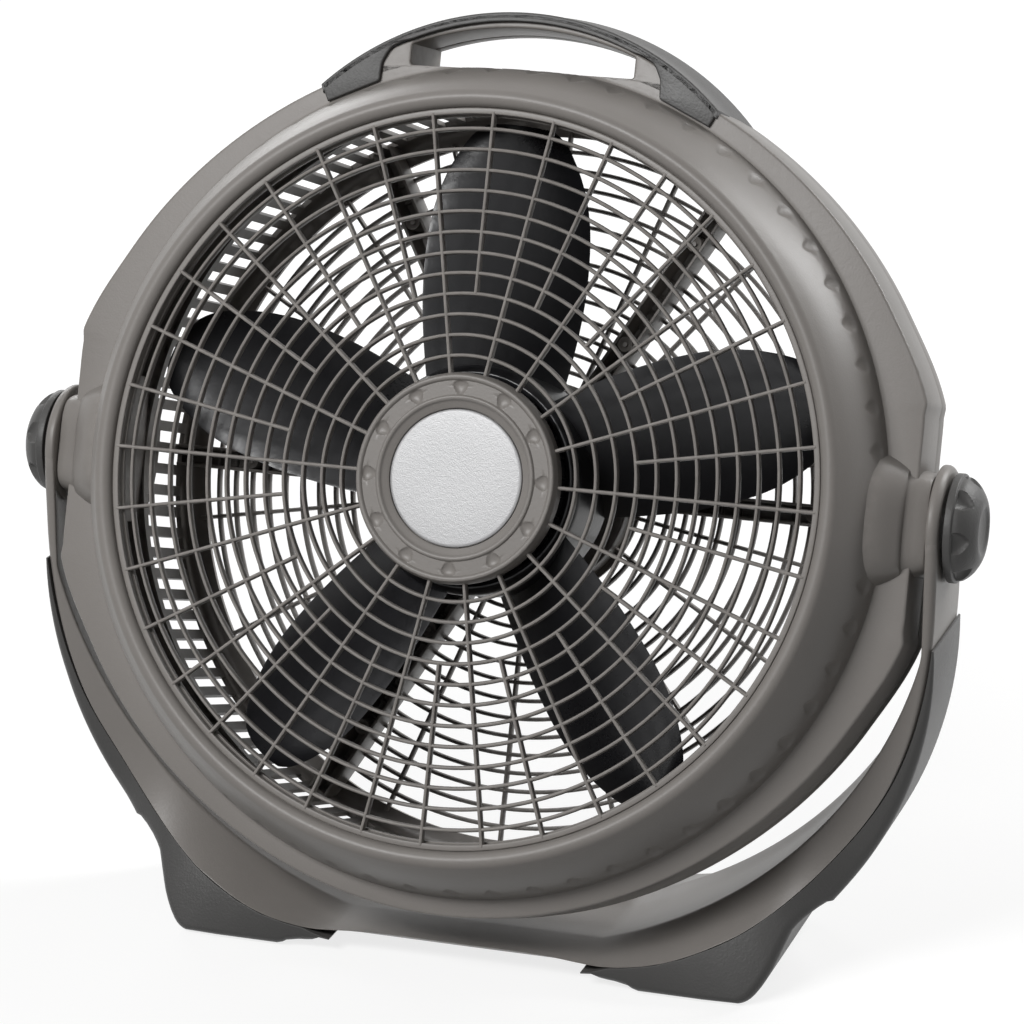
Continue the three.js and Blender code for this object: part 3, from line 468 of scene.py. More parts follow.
class Graph:
    """Short-hand for wiring one node tree."""

    def __init__(self, tree: bpy.types.NodeTree) -> None:
        """Takes the tree to wire."""
        self.tree = tree

    def node(
        self, kind: str, inputs: dict[str | int, object] | None = None, **settings: object
    ) -> bpy.types.Node:
        """Adds a node.

        Args:
            kind: Its type, without the ShaderNode in front.
            inputs: Values or sockets for its inputs, by name or number.
            settings: Its own settings.

        Returns:
            The node.
        """
        made = self.tree.nodes.new("ShaderNode" + kind)
        for name, value in settings.items():
            setattr(made, name, value)
        return self.wire(made, inputs or {})

    def wire(self, node: bpy.types.Node, inputs: dict[str | int, object]) -> bpy.types.Node:
        """Sets inputs of a node.

        Args:
            node: The node.
            inputs: Values or sockets for its inputs, by name or number.

        Returns:
            The node.
        """
        for name, value in inputs.items():
            if isinstance(value, Socket):
                self.tree.links.new(value, node.inputs[name])
            else:
                node.inputs[name].default_value = value
        return node

    def math(self, operation: str, *values: object, clamp: bool = False) -> Socket:
        """Adds a Math node and gives its result."""
        return self.node("Math", dict(enumerate(values)), operation=operation, use_clamp=clamp).outputs[0]

    def mix(self, factor: object, a: object, b: object) -> Socket:
        """Mixes two colours and gives the result."""
        return self.node("Mix", {0: factor, 6: a, 7: b}, data_type="RGBA").outputs[2]

    def spread(self, value: object, low: float, high: float, to_low: float = 0, to_high: float = 1) -> Socket:
        """Maps a range of values to another and gives the result."""
        return self.node("MapRange", {0: value, 1: low, 2: high, 3: to_low, 4: to_high}).outputs[0]

    def place(self) -> Socket:
        """Gives the place on the object."""
        return self.node("TexCoord").outputs["Object"]

    def noise(self, scale: object, detail: float = 2.0, at: Socket | None = None) -> Socket:
        """Adds noise over the object, or over other places, and gives its strength."""
        inputs = {"Vector": at or self.place(), "Scale": scale, "Detail": detail}
        return self.node("TexNoise", inputs).outputs[0]

    def use(self, group: bpy.types.NodeTree, inputs: dict[str, object]) -> bpy.types.bpy_prop_collection:
        """Places a group with its inputs and gives its outputs."""
        return self.node("Group", inputs, node_tree=group).outputs


def new_group(
    name: str, inputs: dict[str, float | tuple[float, ...]], outputs: list[str]
) -> tuple[Graph, bpy.types.bpy_prop_collection, bpy.types.Node]:
    """Starts a shader node group.

    Args:
        name: Name of the effect.
        inputs: Its inputs with their usual values.
        outputs: Its outputs; one whose name ends in Colour is a colour.

    Returns:
        Its graph, the sockets that bring its inputs, and the node that takes its outputs.
    """
    tree = bpy.data.node_groups.new(name, "ShaderNodeTree")
    for key, value in inputs.items():
        kind = "NodeSocketFloat" if isinstance(value, (int, float)) else "NodeSocketColor"
        tree.interface.new_socket(key, in_out="INPUT", socket_type=kind).default_value = value
    for key in outputs:
        kind = "NodeSocketColor" if key.endswith("Colour") else "NodeSocketFloat"
        tree.interface.new_socket(key, in_out="OUTPUT", socket_type=kind)
    return Graph(tree), tree.nodes.new("NodeGroupInput").outputs, tree.nodes.new("NodeGroupOutput")


class Effects:
    """Surface effects that several finishes share, each built once."""

    def __init__(self) -> None:
        """Builds the groups."""
        self.grain = self._grain()
        self.mottle = self._mottle()
        self.wear = self._wear()
        self.dust = self._dust()
        self.brushing = self._brushing()

    @staticmethod
    def _grain() -> bpy.types.NodeTree:
        """Fine pebbled grain of a moulding tool, as a height.

        Returns:
            The group.
        """
        g, given, out = new_group("MouldGrain", {"Scale": 900.0, "Coarse": 0.35}, ["Height"])
        fine = g.noise(given["Scale"], 3.0)
        wide = g.math("MULTIPLY", given["Scale"], 0.32)
        cells = g.node("TexVoronoi", {"Vector": g.place(), "Scale": wide}, feature="SMOOTH_F1")
        coarse = g.math("MULTIPLY", cells.outputs["Distance"], given["Coarse"])
        g.wire(out, {"Height": g.math("ADD", fine, coarse)})
        return g.tree

    @staticmethod
    def _mottle() -> bpy.types.NodeTree:
        """Slow colour drift of a moulded part, and a gloss drift to go with it.

        Returns:
            The group.
        """
        usual = {"Colour": (0.5, 0.5, 0.5, 1.0), "Amount": 0.1, "Scale": 9.0}
        g, given, out = new_group("MouldMottle", usual, ["Colour", "Drift"])
        slow = g.math("MULTIPLY", g.noise(given["Scale"], 4.0), 0.75)
        fine = g.math("MULTIPLY", g.noise(420.0), 0.25)
        drift = g.spread(g.math("ADD", slow, fine), 0.3, 0.7)
        swing = g.math("MULTIPLY", g.math("SUBTRACT", drift, 0.5), given["Amount"])
        shade = g.node("HueSaturation", {"Color": given["Colour"], "Value": g.math("ADD", swing, 1.0)})
        g.wire(out, {"Colour": shade.outputs[0], "Drift": drift})
        return g.tree

    @staticmethod
    def _wear() -> bpy.types.NodeTree:
        """Rubbed edges, broken up by noise, as a mask.

        Returns:
            The group.
        """
        g, given, out = new_group("EdgeRub", {"Amount": 0.3, "Breakup": 140.0}, ["Mask"])
        edge = g.spread(g.node("NewGeometry").outputs["Pointiness"], 0.515, 0.58)
        broken = g.spread(g.noise(given["Breakup"], 5.0), 0.35, 0.65)
        g.wire(out, {"Mask": g.math("MULTIPLY", g.math("MULTIPLY", edge, broken), given["Amount"])})
        return g.tree

    @staticmethod
    def _dust() -> bpy.types.NodeTree:
        """A thin film on faces that look up, as a mask.

        Returns:
            The group.
        """
        g, given, out = new_group("DustFilm", {"Amount": 0.2}, ["Mask"])
        up = g.node("SeparateXYZ", {0: g.node("NewGeometry").outputs["Normal"]}).outputs["Z"]
        lying = g.spread(up, 0.35, 1.0)
        patch = g.spread(g.noise(60.0, 6.0), 0.3, 0.75)
        g.wire(out, {"Mask": g.math("MULTIPLY", g.math("MULTIPLY", lying, patch), given["Amount"])})
        return g.tree

    @staticmethod
    def _brushing() -> bpy.types.NodeTree:
        """Fine lines left by turning or drawing, stretched along one way, as a height.

        Returns:
            The group.
        """
        g, given, out = new_group("DrawnLines", {"Across": 1600.0, "Along": 30.0}, ["Height"])
        stretch = g.node("CombineXYZ", {0: given["Across"], 1: given["Along"], 2: given["Across"]})
        scaled = g.node("VectorMath", {0: g.place(), 1: stretch.outputs[0]}, operation="MULTIPLY")
        g.wire(out, {"Height": g.noise(1.0, at=scaled.outputs[0])})
        return g.tree


@dataclass(frozen=True)
class Finish:
    """How one material of the fan looks.

    A plastic has grain and no metal. A metal is metallic; one with drawn set has drawn lines in place of
    grain.
    """

    slot: Slot
    colour: tuple[float, float, float]
    roughness: float
    metallic: float = 0.0
    specular: float = 0.5
    grain: float = 0.3  # strength of the grain
    scale: float = 900.0  # its fineness
    mottle: float = 0.12  # drift of the colour
    wear: float = 0.3  # rubbing of the edges
    dust: float = 0.1
    drawn: bool = False  # drawn lines in place of grain
    bands: float = 0.0  # fineness of stacked sheets or wound wire

    def material(self, effects: Effects) -> bpy.types.Material:
        """Builds the material.

        Args:
            effects: The shared effects.

        Returns:
            The material.
        """
        made = bpy.data.materials.new(self.slot.value)
        made.use_nodes = True
        g = Graph(made.node_tree)
        shader = next(n for n in made.node_tree.nodes if n.type == "BSDF_PRINCIPLED")
        mottle = g.use(effects.mottle, {"Colour": (*self.colour, 1), "Amount": self.mottle})
        wear = g.use(effects.wear, {"Amount": self.wear})["Mask"]
        dust = g.use(effects.dust, {"Amount": self.dust})["Mask"]
        light = tuple(min(1.0, c * 1.7 + 0.03) for c in self.colour)
        colour = g.mix(dust, g.mix(wear, mottle["Colour"], (*light, 1)), DUST_COLOUR)
        drift = g.spread(mottle["Drift"], 0, 1, self.roughness - 0.05, self.roughness + 0.05)
        if self.drawn:
            height = g.use(effects.brushing, {"Across": self.scale})["Height"]
        else:
            height = g.use(effects.grain, {"Scale": self.scale})["Height"]
        if self.bands:
            ripple = {"Vector": g.place(), "Scale": self.bands, "Distortion": 0.6}
            wave = g.node("TexWave", ripple, bands_direction="Y").outputs["Fac"]
            height = g.math("ADD", height, g.math("MULTIPLY", wave, 3.0))
            colour = g.mix(g.math("MULTIPLY", wave, 0.35), colour, (*light, 1))
        bump = g.node("Bump", {"Strength": self.grain, "Distance": 0.0006, "Height": height})
        g.wire(shader, {
            "Base Color": colour,
            "Metallic": self.metallic,
            "Specular IOR Level": self.specular,
            "Roughness": g.math("ADD", drift, g.math("MULTIPLY", dust, 0.3), clamp=True),
            "Normal": bump.outputs[0],
        })
        return made


DUST_COLOUR = (0.42, 0.4, 0.37, 1)
FINISHES = (
    Finish(Slot.TAUPE, (0.212, 0.197, 0.184), 0.38, specular=0.32, grain=0.12, mottle=0.06, wear=0.35,
           dust=0.05),
    Finish(Slot.CHARCOAL, (0.056, 0.0548, 0.0535), 0.44, specular=0.35, scale=700.0, mottle=0.14),
    Finish(Slot.BLADE, (0.013, 0.013, 0.015), 0.3, grain=0.12, scale=500.0, mottle=0.2, wear=0.15,
           dust=0.03),
    Finish(Slot.DISC, (0.385, 0.385, 0.39), 0.48, 0.4, scale=1500.0, mottle=0.05, wear=0.2, dust=0.02),
    Finish(Slot.STEEL, (0.42, 0.43, 0.44), 0.34, 1.0, grain=0.2, scale=1600.0, mottle=0.1, drawn=True),
    Finish(Slot.LAMINATION, (0.2, 0.2, 0.21), 0.5, 0.9, grain=0.5, bands=620.0, mottle=0.2),
    Finish(Slot.COPPER, (0.42, 0.16, 0.07), 0.42, 0.8, grain=0.6, bands=260.0, mottle=0.25),
    Finish(Slot.BRONZE, (0.34, 0.22, 0.09), 0.46, 0.9, grain=0.5, scale=1200.0, mottle=0.2),
    Finish(Slot.CREAM, (0.66, 0.62, 0.52), 0.5, grain=0.2, mottle=0.08),
    Finish(Slot.RUBBER, (0.02, 0.02, 0.021), 0.82, grain=0.6, scale=600.0, mottle=0.3, dust=0.2),
)


class Workshop:
    """Holds the finishes, and fits each piece to its body."""

    def __init__(self) -> None:
        """Builds every material once."""
        effects = Effects()
        self.finishes = {finish.slot: finish.material(effects) for finish in FINISHES}

    def fit(self, obj: Placed, slot: Slot, body: Body, stands_for: tuple[str, ...] = ()) -> Placed:
        """Gives a piece its finish, body and the solids that it stands for.

        Args:
            obj: The piece, in place.
            slot: Its finish.
            body: The body that it rides on.
            stands_for: Names of the solids that it replaces.

        Returns:
            The piece.
        """
        obj.data.materials.append(self.finishes[slot])
        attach(obj, body.value)
        if stands_for:
            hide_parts(*stands_for)
        LOG.info("%s: %d faces, %s", obj.name, len(getattr(obj.data, "polygons", ())), slot.value)
        return obj

    def carry_over(self, name: str, slot: Slot) -> None:
        """Finishes a solid that keeps its own shape, with its edges rounded.

        Args:
            name: Name of the solid.
            slot: Its finish.
        """
        obj = frame["nodes"][name]
        obj.data.materials.clear()
        obj.data.materials.append(self.finishes[slot])
        bevel = obj.modifiers.new("edges", "BEVEL")
        bevel.width, bevel.segments, bevel.limit_method = 0.4 * MM, 2, "ANGLE"
        bevel.angle_limit = math.radians(40)
        LOG.info("%s keeps its solid, %s", name, slot.value)


# ---------- head ----------


@dataclass
class Outline:
    """Outline of the head's flange: fuller towards its flat sides, with a flat top under the handle."""

    crown: float = 250.3  # radius at the top ...
    full: float = 12.6  # ... and how much more it would be at the sides
    side: float = 255.0  # flat sides
    top: float = 236.6  # flat top
    proud: float = 3.0  # swelling beside the pivot pads
    notch: float = 59.0  # height at which it starts ...
    swell: float = 9.0  # ... in so much height ...
    fade: float = 60.0  # ... and by which it has gone
    front: float = 42.5
    back: float = 87.0
    draft: float = 2.4  # widening of the wall from front to back

    def radius(self, angle: Array, inset: float) -> Array:
        """Radius at angles about the head's axis.

        Args:
            angle: Angles in radians.
            inset: Distance in from the outline.

        Returns:
            The radii.
        """
        c, s = np.abs(np.cos(angle)), np.sin(angle)
        bow = self.crown + self.full * c ** 4 - inset
        height = np.abs(bow * s)
        full = self.notch + self.swell
        rise = ease(height, self.notch, full) * (1 - ease(height, full, self.notch + self.fade))
        flat = (self.side - inset) / np.maximum(c, 1e-6) + self.proud * rise
        return np.minimum(np.minimum(bow + self.proud * rise, flat), self.lid(angle, max(inset, 0)))

    def at(self, angle: Array, inset: float, y: float) -> Array:
        """Pairs of radius and depth at one depth of the wall, which widens towards its back."""
        drawn = self.draft * max(0.0, y - self.front) / (self.back - self.front)
        return level(len(angle), self.radius(angle, inset - drawn), y)

    def lid(self, angle: Array, inset: float = 0) -> Array:
        """Largest radius under the flat top."""
        return np.where(np.sin(angle) > 0.5, (self.top - inset) / np.maximum(np.sin(angle), 0.5), 1e6)


@dataclass
class FrontShell:
    """Front housing: crowned lip, dimpled bezel, flange with side wall, pivot pads."""

    outline: Outline
    seat: float = 210.4
    ledge: float = 6.3
    ledge_width: float = 5.0
    crown: float = 5.4
    crown_points: int = 11
    bezel: float = 239.0
    bezel_depth: float = 40.0
    flange: float = 42.5
    parting: float = 75.0
    wall: float = 3.0
    dimples: int = 60
    dimple_radius: float = 235.6
    dimple_width: float = 8.8
    dimple_length: float = 14.0
    dimple_depth: float = 1.2
    pad_root: float = 226.0

    SLOPE = [(223.6, 3.2), (231.2, 18), (235.9, 30)]  # radius and depth down the bezel
    NEAR = [-3, -1.7, -1.05, -0.85, -0.58, -0.3, 0, 0.3, 0.58, 0.85, 1.05, 1.7]  # degrees from a dimple
    # out from the middle, then the pad's half height and its reach to the front and to the back
    PAD = [(226, 43.5, 50.5, 38), (232, 41.6, 49.6, 37.5), (238, 39, 46.6, 37), (243, 36.6, 42, 36),
           (247.4, 34.4, 37.6, 34.4), (249.6, 33.2, 35.4, 33.4), (250.2, 32.0, 33.2, 32.2),
           (251.4, 31.4, 32.2, 31.4), (256.5, 30.0, 30.6, 30.0), (260.9, 28.9, 29.3, 29.0),
           (262.3, 28.2, 28.5, 28.3), (262.7, 27.0, 27.2, 27.1), (262.7, 0, 0, 0)]
    PAD_SQUARENESS = [(226, 2.5), (238, 2.9), (250, 3.6), (262.7, 4.0)]  # 2 would be round

    def angles(self) -> Array:
        """Angles round the head, closest at the dimples."""
        step = 360 / self.dimples
        return np.radians((np.arange(self.dimples)[:, None] * step + step / 2 + self.NEAR).ravel())

    def slope(self) -> Array:
        """Profile of the bezel from the lip to the flange, with its points closest at the dimples.

        Returns:
            Pairs of radius and depth.
        """
        middle = self.seat + self.crown
        arc = [(middle + self.crown * math.cos(a), self.crown * (0.25 - math.sin(a)))
               for a in np.linspace(math.pi, math.radians(28), self.crown_points)]
        run = through([arc[-1], *self.SLOPE, (self.bezel, self.bezel_depth)], 60)
        return np.concatenate([arc, run[1:22:4], run[22:56:2], run[56:]])

    def build(self) -> Placed:
        """Meshes the shell.

        Returns:
            The shell's object.
        """
        angles = self.angles()
        section = np.concatenate([self._dimpled(angles)[:, :-1], self._tail(angles)[:, :-1]], 1)
        section[..., 0] = np.minimum(section[..., 0], self.outline.lid(angles)[:, None])
        sheets = Sheets()
        sheets.grid(around(section, angles), rows=True, columns=True)
        for side in Side:
            self._pad(sheets, side)
        return sheets.made("front_shell", HEAD_PLACE)

    def _dimpled(self, angles: Array) -> Array:
        """The bezel's profile at each angle, pressed in at the dimples.

        Args:
            angles: Angles in radians.

        Returns:
            Pairs of radius and depth by angle.
        """
        slope = self.slope()
        step = TURN / self.dimples
        off = (angles % step) - step / 2
        run = lengths(slope)
        centre = np.interp(self.dimple_radius, slope[self.crown_points:, 0], run[self.crown_points:])
        depth = hollow(off[:, None] * self.dimple_radius, (run - centre)[None, :], self.dimple_width / 2,
                       self.dimple_length / 2, self.dimple_depth)
        return slope - depth[..., None] * normals(slope)

    def _tail(self, angles: Array) -> Array:
        """The rest of the shell's section at each angle: flange, side wall, inner faces and seat.

        Args:
            angles: Angles in radians.

        Returns:
            Pairs of radius and depth by angle.
        """
        count = len(angles)
        back = self.flange + self.wall
        ledge = self.seat - self.ledge_width
        tail = np.stack([
            level(count, self.bezel, self.bezel_depth),
            level(count, self.bezel + 0.2, self.flange - 0.4),
            level(count, self.bezel + 2.2, self.flange),
            self.outline.at(angles, 0, self.flange),
            self.outline.at(angles, 0, self.parting),
            self.outline.at(angles, self.wall, self.parting),
            self.outline.at(angles, self.wall, back),
            level(count, self.bezel - self.wall, back),
            level(count, 228, 21),
            level(count, ledge, self.ledge + self.wall),
            level(count, ledge, self.ledge),
            level(count, self.seat, self.ledge),
        ], 1)
        return rounded(tail, [0, 0.5, 1.2, 1.6, 0.5, 0.5, 0, 0, 0, 0, 0.5, 0.8], 3)

    def _pad(self, sheets: Sheets, side: Side) -> None:
        """Adds the boss round one end of the tilt axis: a bulge that grows out of the bezel, and a tier.

        Args:
            sheets: Where it goes.
            side: Its side.
        """
        stations = np.array(self.PAD)
        squareness = np.interp(stations[:, 0], *np.array(self.PAD_SQUARENESS).T)
        a = full_turn(96, 0.5)
        c, s = np.cos(a), np.sin(a)
        rings = [np.stack([0 * a, 0 * a + self.pad_root, 0 * a], 1)]
        for (x, high, front, back), p in zip(stations, squareness):
            reach = np.where(c < 0, front, back)
            k = (np.abs(c) ** p + np.abs(s) ** p) ** (-1 / p)
            rings.append(np.stack([k * c * reach, 0 * a + x, k * s * high], 1))
        turned = sideways(side, np.stack(rings))
        turned[..., 1] *= side.value
        sheets.grid(turned + [0, PIVOT_DEPTH, 0], columns=True)


@dataclass
class CarryHandle:
    """Arched handle on top of the head: a taupe frame round the finger opening, and the dark grip."""

    top: float = 270.4  # the grip's crest in front ...
    arc: float = 172.0  # ... and its radius
    back_top: float = 275.2  # the same at its back
    back_arc: float = 175.0
    grip: float = 4.5  # thickness
    grip_skirt: float = 2.6  # the grip's front plate
    end_x: float = 120.0  # ends of the grip in front, out from the middle
    back_end: float = 134.0
    strip_x: float = 57.0  # ends of the grip's thin middle
    post: float = 84.0  # outer edge of the posts
    half_opening: float = 67.5  # finger opening in front ...
    half_behind: float = 63.5  # ... and between the posts' rear edges
    floor: float = 236.6
    side: float = 248.7  # top of the opening's straight ends
    crest: float = 261.6
    front: float = 42.5
    parting: float = 75.0
    back: float = 86.6
    foot: float = 244.5  # radius of the frame's lower edge, inside the flange
    foot_degrees: float = 27.6
    lobe_radius: float = 241.0
    lobe_degrees: tuple[float, float] = (28.5, 20.5)

    LOBE = [(-79.5, 245.5), (-73, 250.2), (-66, 253.4)]  # from the post to the thin middle

    def bow(self, radius: float, half: float, steps: int) -> Array:
        """Arc of the handle from right to left.

        Args:
            radius: Its radius.
            half: Half its width.
            steps: Number of segments.

        Returns:
            Points in x and z.
        """
        reach = math.asin(min(1, half / radius))
        a = np.linspace(reach, -reach, steps + 1)
        return np.stack([radius * np.sin(a), self.top - self.arc + radius * np.cos(a)], 1)

    def opening(self) -> Array:
        """Outline of the finger opening.

        Returns:
            Points in x and z.
        """
        rise = self.crest - self.side
        radius = (self.half_opening ** 2 + rise ** 2) / (2 * rise)
        lean = math.asin(self.half_opening / radius)
        a = np.linspace(lean, -lean, 25)
        arch = np.stack([radius * np.sin(a), self.crest - radius + radius * np.cos(a)], 1)
        corners = np.concatenate([[(-self.half_opening, self.floor), (self.half_opening, self.floor)], arch])
        return rounded(corners, [2.0, 2.0, 1.5] + [0] * 23 + [1.5], 3, True)

    def frame(self) -> Placed:
        """Meshes the frame.

        Returns:
            The frame's object.
        """
        arch = self.bow(self.arc - self.grip - FIT, self.end_x - 3, 40)
        a = np.radians(np.linspace(-self.foot_degrees, self.foot_degrees, 31))
        base = np.stack([self.foot * np.sin(a), np.minimum(self.foot * np.cos(a), self.floor - 1.5)], 1)
        sheets = Sheets()
        for y0, y1 in ((self.front, self.parting), (self.parting + FIT, self.back - 0.6)):
            sheets.plate([np.concatenate([arch, base]), self.opening()], y0, y1, 1.2)
        outer, near, far = self.half_opening + 4, self.front + 1.5, self.back - 2
        plan = [[outer, near], [self.half_opening - 0.4, near], [self.half_behind, far], [outer, far]]
        plan = rounded(np.array(plan), 0.8, 3, True)
        for way in (-1, 1):
            sheets.loft(np.stack([np.column_stack([way * plan[:, 0], plan[:, 1], np.full(len(plan), z)])
                                  for z in (self.floor - 1, self.side + 2.2)]))
        return sheets.made("handle_frame", HEAD_PLACE)

    def dark_grip(self) -> Placed:
        """Meshes the grip with its two lobes.

        Returns:
            The grip's object.
        """
        sheets = Sheets()
        behind = self.front - 0.2
        front = behind - self.grip_skirt
        upper = self.bow(self.arc, self.end_x, 60)
        left = self._lobe()
        strip = self.bow(self.arc - self.grip, self.strip_x, 24)[::-1]
        right = np.stack([-left[:, 0], left[:, 1]], 1)[::-1]
        sheets.plate([np.concatenate([upper, left, strip, right])], front, behind, 1.1)
        self._wrap(sheets, front)
        tier = np.concatenate([self.bow(self.arc - 3.1, self.post - 6, 40),
                               self.bow(self.arc - self.grip - 0.9, self.post - 18, 40)[::-1]])
        sheets.plate([tier], front - 0.9, self.parting + 1.5, 0.5)
        return sheets.made("grip", HEAD_PLACE)

    def _wrap(self, sheets: Sheets, front: float) -> None:
        """Adds the skin over the arch, which widens and rises towards its back.

        Args:
            sheets: Where it goes.
            front: Its front face.
        """
        share = np.sin(np.linspace(math.pi / 2, -math.pi / 2, 73))
        near = self.end_x * share
        far = self.back_end * share
        rise = self.top - self.arc + np.sqrt(self.arc ** 2 - near ** 2)
        rise_far = self.back_top - self.back_arc + np.sqrt(self.back_arc ** 2 - far ** 2)
        corner = [(near, front, rise), (near, front + 22, rise), (far, self.back, rise_far),
                  (far * 0.985, self.back, rise_far - self.grip), (near * 0.985, front, rise - self.grip)]
        section = np.stack([np.stack([x, np.full(len(share), float(y)), z], 1) for x, y, z in corner], 1)
        sheets.loft(rounded(section, [1.6, 14, 2.0, 0.8, 0.8], 5, True))

    def _lobe(self) -> Array:
        """Inner outline of the left lobe, from its end to the thin middle.

        Returns:
            Points in x and z.
        """
        ends = [(-self.lobe_radius * math.sin(a), self.lobe_radius * math.cos(a))
                for a in map(math.radians, self.lobe_degrees)]
        return rounded(np.array([*ends, (-self.post, self.floor), *self.LOBE]), [0, 1.5, 2.5, 5, 5, 0], 4)


@dataclass
class FrontGuard:
    """Front grille: flat guard of rings and spokes, dimpled hub and the bare centre disc."""

    rim: float = 210.0
    rim_inner: float = 206.6
    hub: float = 58.0
    rings: int = 12
    spokes: int = 18
    short_from: int = 4  # ring from which every other spoke starts
    width: float = 2.4
    depth: float = 6.0
    face: float = -5.0
    channel: float = 1.5  # depth of the channel in the hub's face
    marks: int = 12
    mark_turn: float = 2.0  # degrees
    mark_radius: float = 51.0
    mark_half_width: float = 3.9
    mark_half_length: float = 4.3
    mark_depth: float = 1.8

    # degrees from a mark
    NEAR = [-15, -9, -5.6, -4.6, -4.1, -3.5, -2.6, -1.3, 0, 1.3, 2.6, 3.5, 4.1, 4.6, 5.6, 9]
    DISC = [(0, -2.4), (20, -2.38), (37.9, -2.2), (39.2, -1.5), (39.2, 0), (0, 0)]

    @property
    def pitch(self) -> float:
        """Distance between rings."""
        return (self.rim - self.hub) / (self.rings + 1)

    def build(self) -> Placed:
        """Meshes the guard and its hub.

        Returns:
            The guard's object.
        """
        sheets = Sheets()
        ring = pill(self.width, self.depth - 0.4)
        for k in range(1, self.rings + 1):
            sheets.turn(ring + [self.hub + k * self.pitch, self.depth / 2 + 0.2], 216, True)
        inner, outer = self.rim_inner, self.rim
        rim = np.array([[inner, 0.6], [outer, 0.6], [outer, self.depth], [inner, self.depth]])
        sheets.turn(rounded(rim, 0.7, 3, True), 240, True)
        bar = pill(self.width, self.depth - 0.2)
        for j, angle in enumerate(full_turn(2 * self.spokes)):
            start = self.hub if j % 2 == 0 else self.hub + self.short_from * self.pitch
            sheets.spoke(angle, start, self.rim - 2, bar, self.depth / 2)
        self._hub(sheets)
        return sheets.made("guard", HEAD_PLACE)

    def _hub(self, sheets: Sheets) -> None:
        """Adds the hub with the finger marks in its channel.

        Args:
            sheets: Where it goes.
        """
        face, floor = self.face, self.face + self.channel
        outer = np.array([[60, 7], [60, 0], [58.9, floor], [58.2, face], [56.2, face], [55.2, floor]])
        flat = level(26, np.linspace(54.8, 47.6, 26), floor)
        inner = np.array([[47.2, floor], [46.4, face], [44.6, face], [43.6, face + 1.6], [40.6, -2.2],
                          [39.6, -1.6], [39.6, 0.3], [0, 0.3]])
        profile = np.concatenate([rounded(outer, [0, 0.8, 0.9, 0.9, 0.8, 0.5], 4), flat,
                                  rounded(inner, [0, 0.6, 0.8, 0.8, 0.8, 0.4, 0, 0], 3), [[0, 7.0]]])
        step = np.arange(self.marks)[:, None] * 360 / self.marks
        angles = np.radians((step + self.mark_turn + self.NEAR).ravel())
        half = math.pi / self.marks
        off = (angles - math.radians(self.mark_turn) + half) % (2 * half) - half
        along = (profile[:, 0] - self.mark_radius)[None, :] / self.mark_half_length
        mark = hollow(off[:, None] * (self.mark_radius + 0.5), along * self.mark_half_length,
                      self.mark_half_width, self.mark_half_length, self.mark_depth)
        mark *= np.clip(0.85 + 0.2 * along, 0, 1)
        grid = np.broadcast_to(profile, (len(angles), *profile.shape)).copy()
        grid[..., 1] += np.where(np.abs(profile[:, 1] - floor) < 0.01, mark, 0)
        sheets.grid(around(grid, angles), rows=True, columns=True)

    def disc(self) -> Placed:
        """Meshes the bare centre disc.

        Returns:
            The disc's object.
        """
        sheets = Sheets()
        sheets.turn(rounded(np.array(self.DISC), [0, 4, 0.9, 0.8, 0.1, 0], 4), 128)
        return sheets.made("centre_plate", HEAD_PLACE)


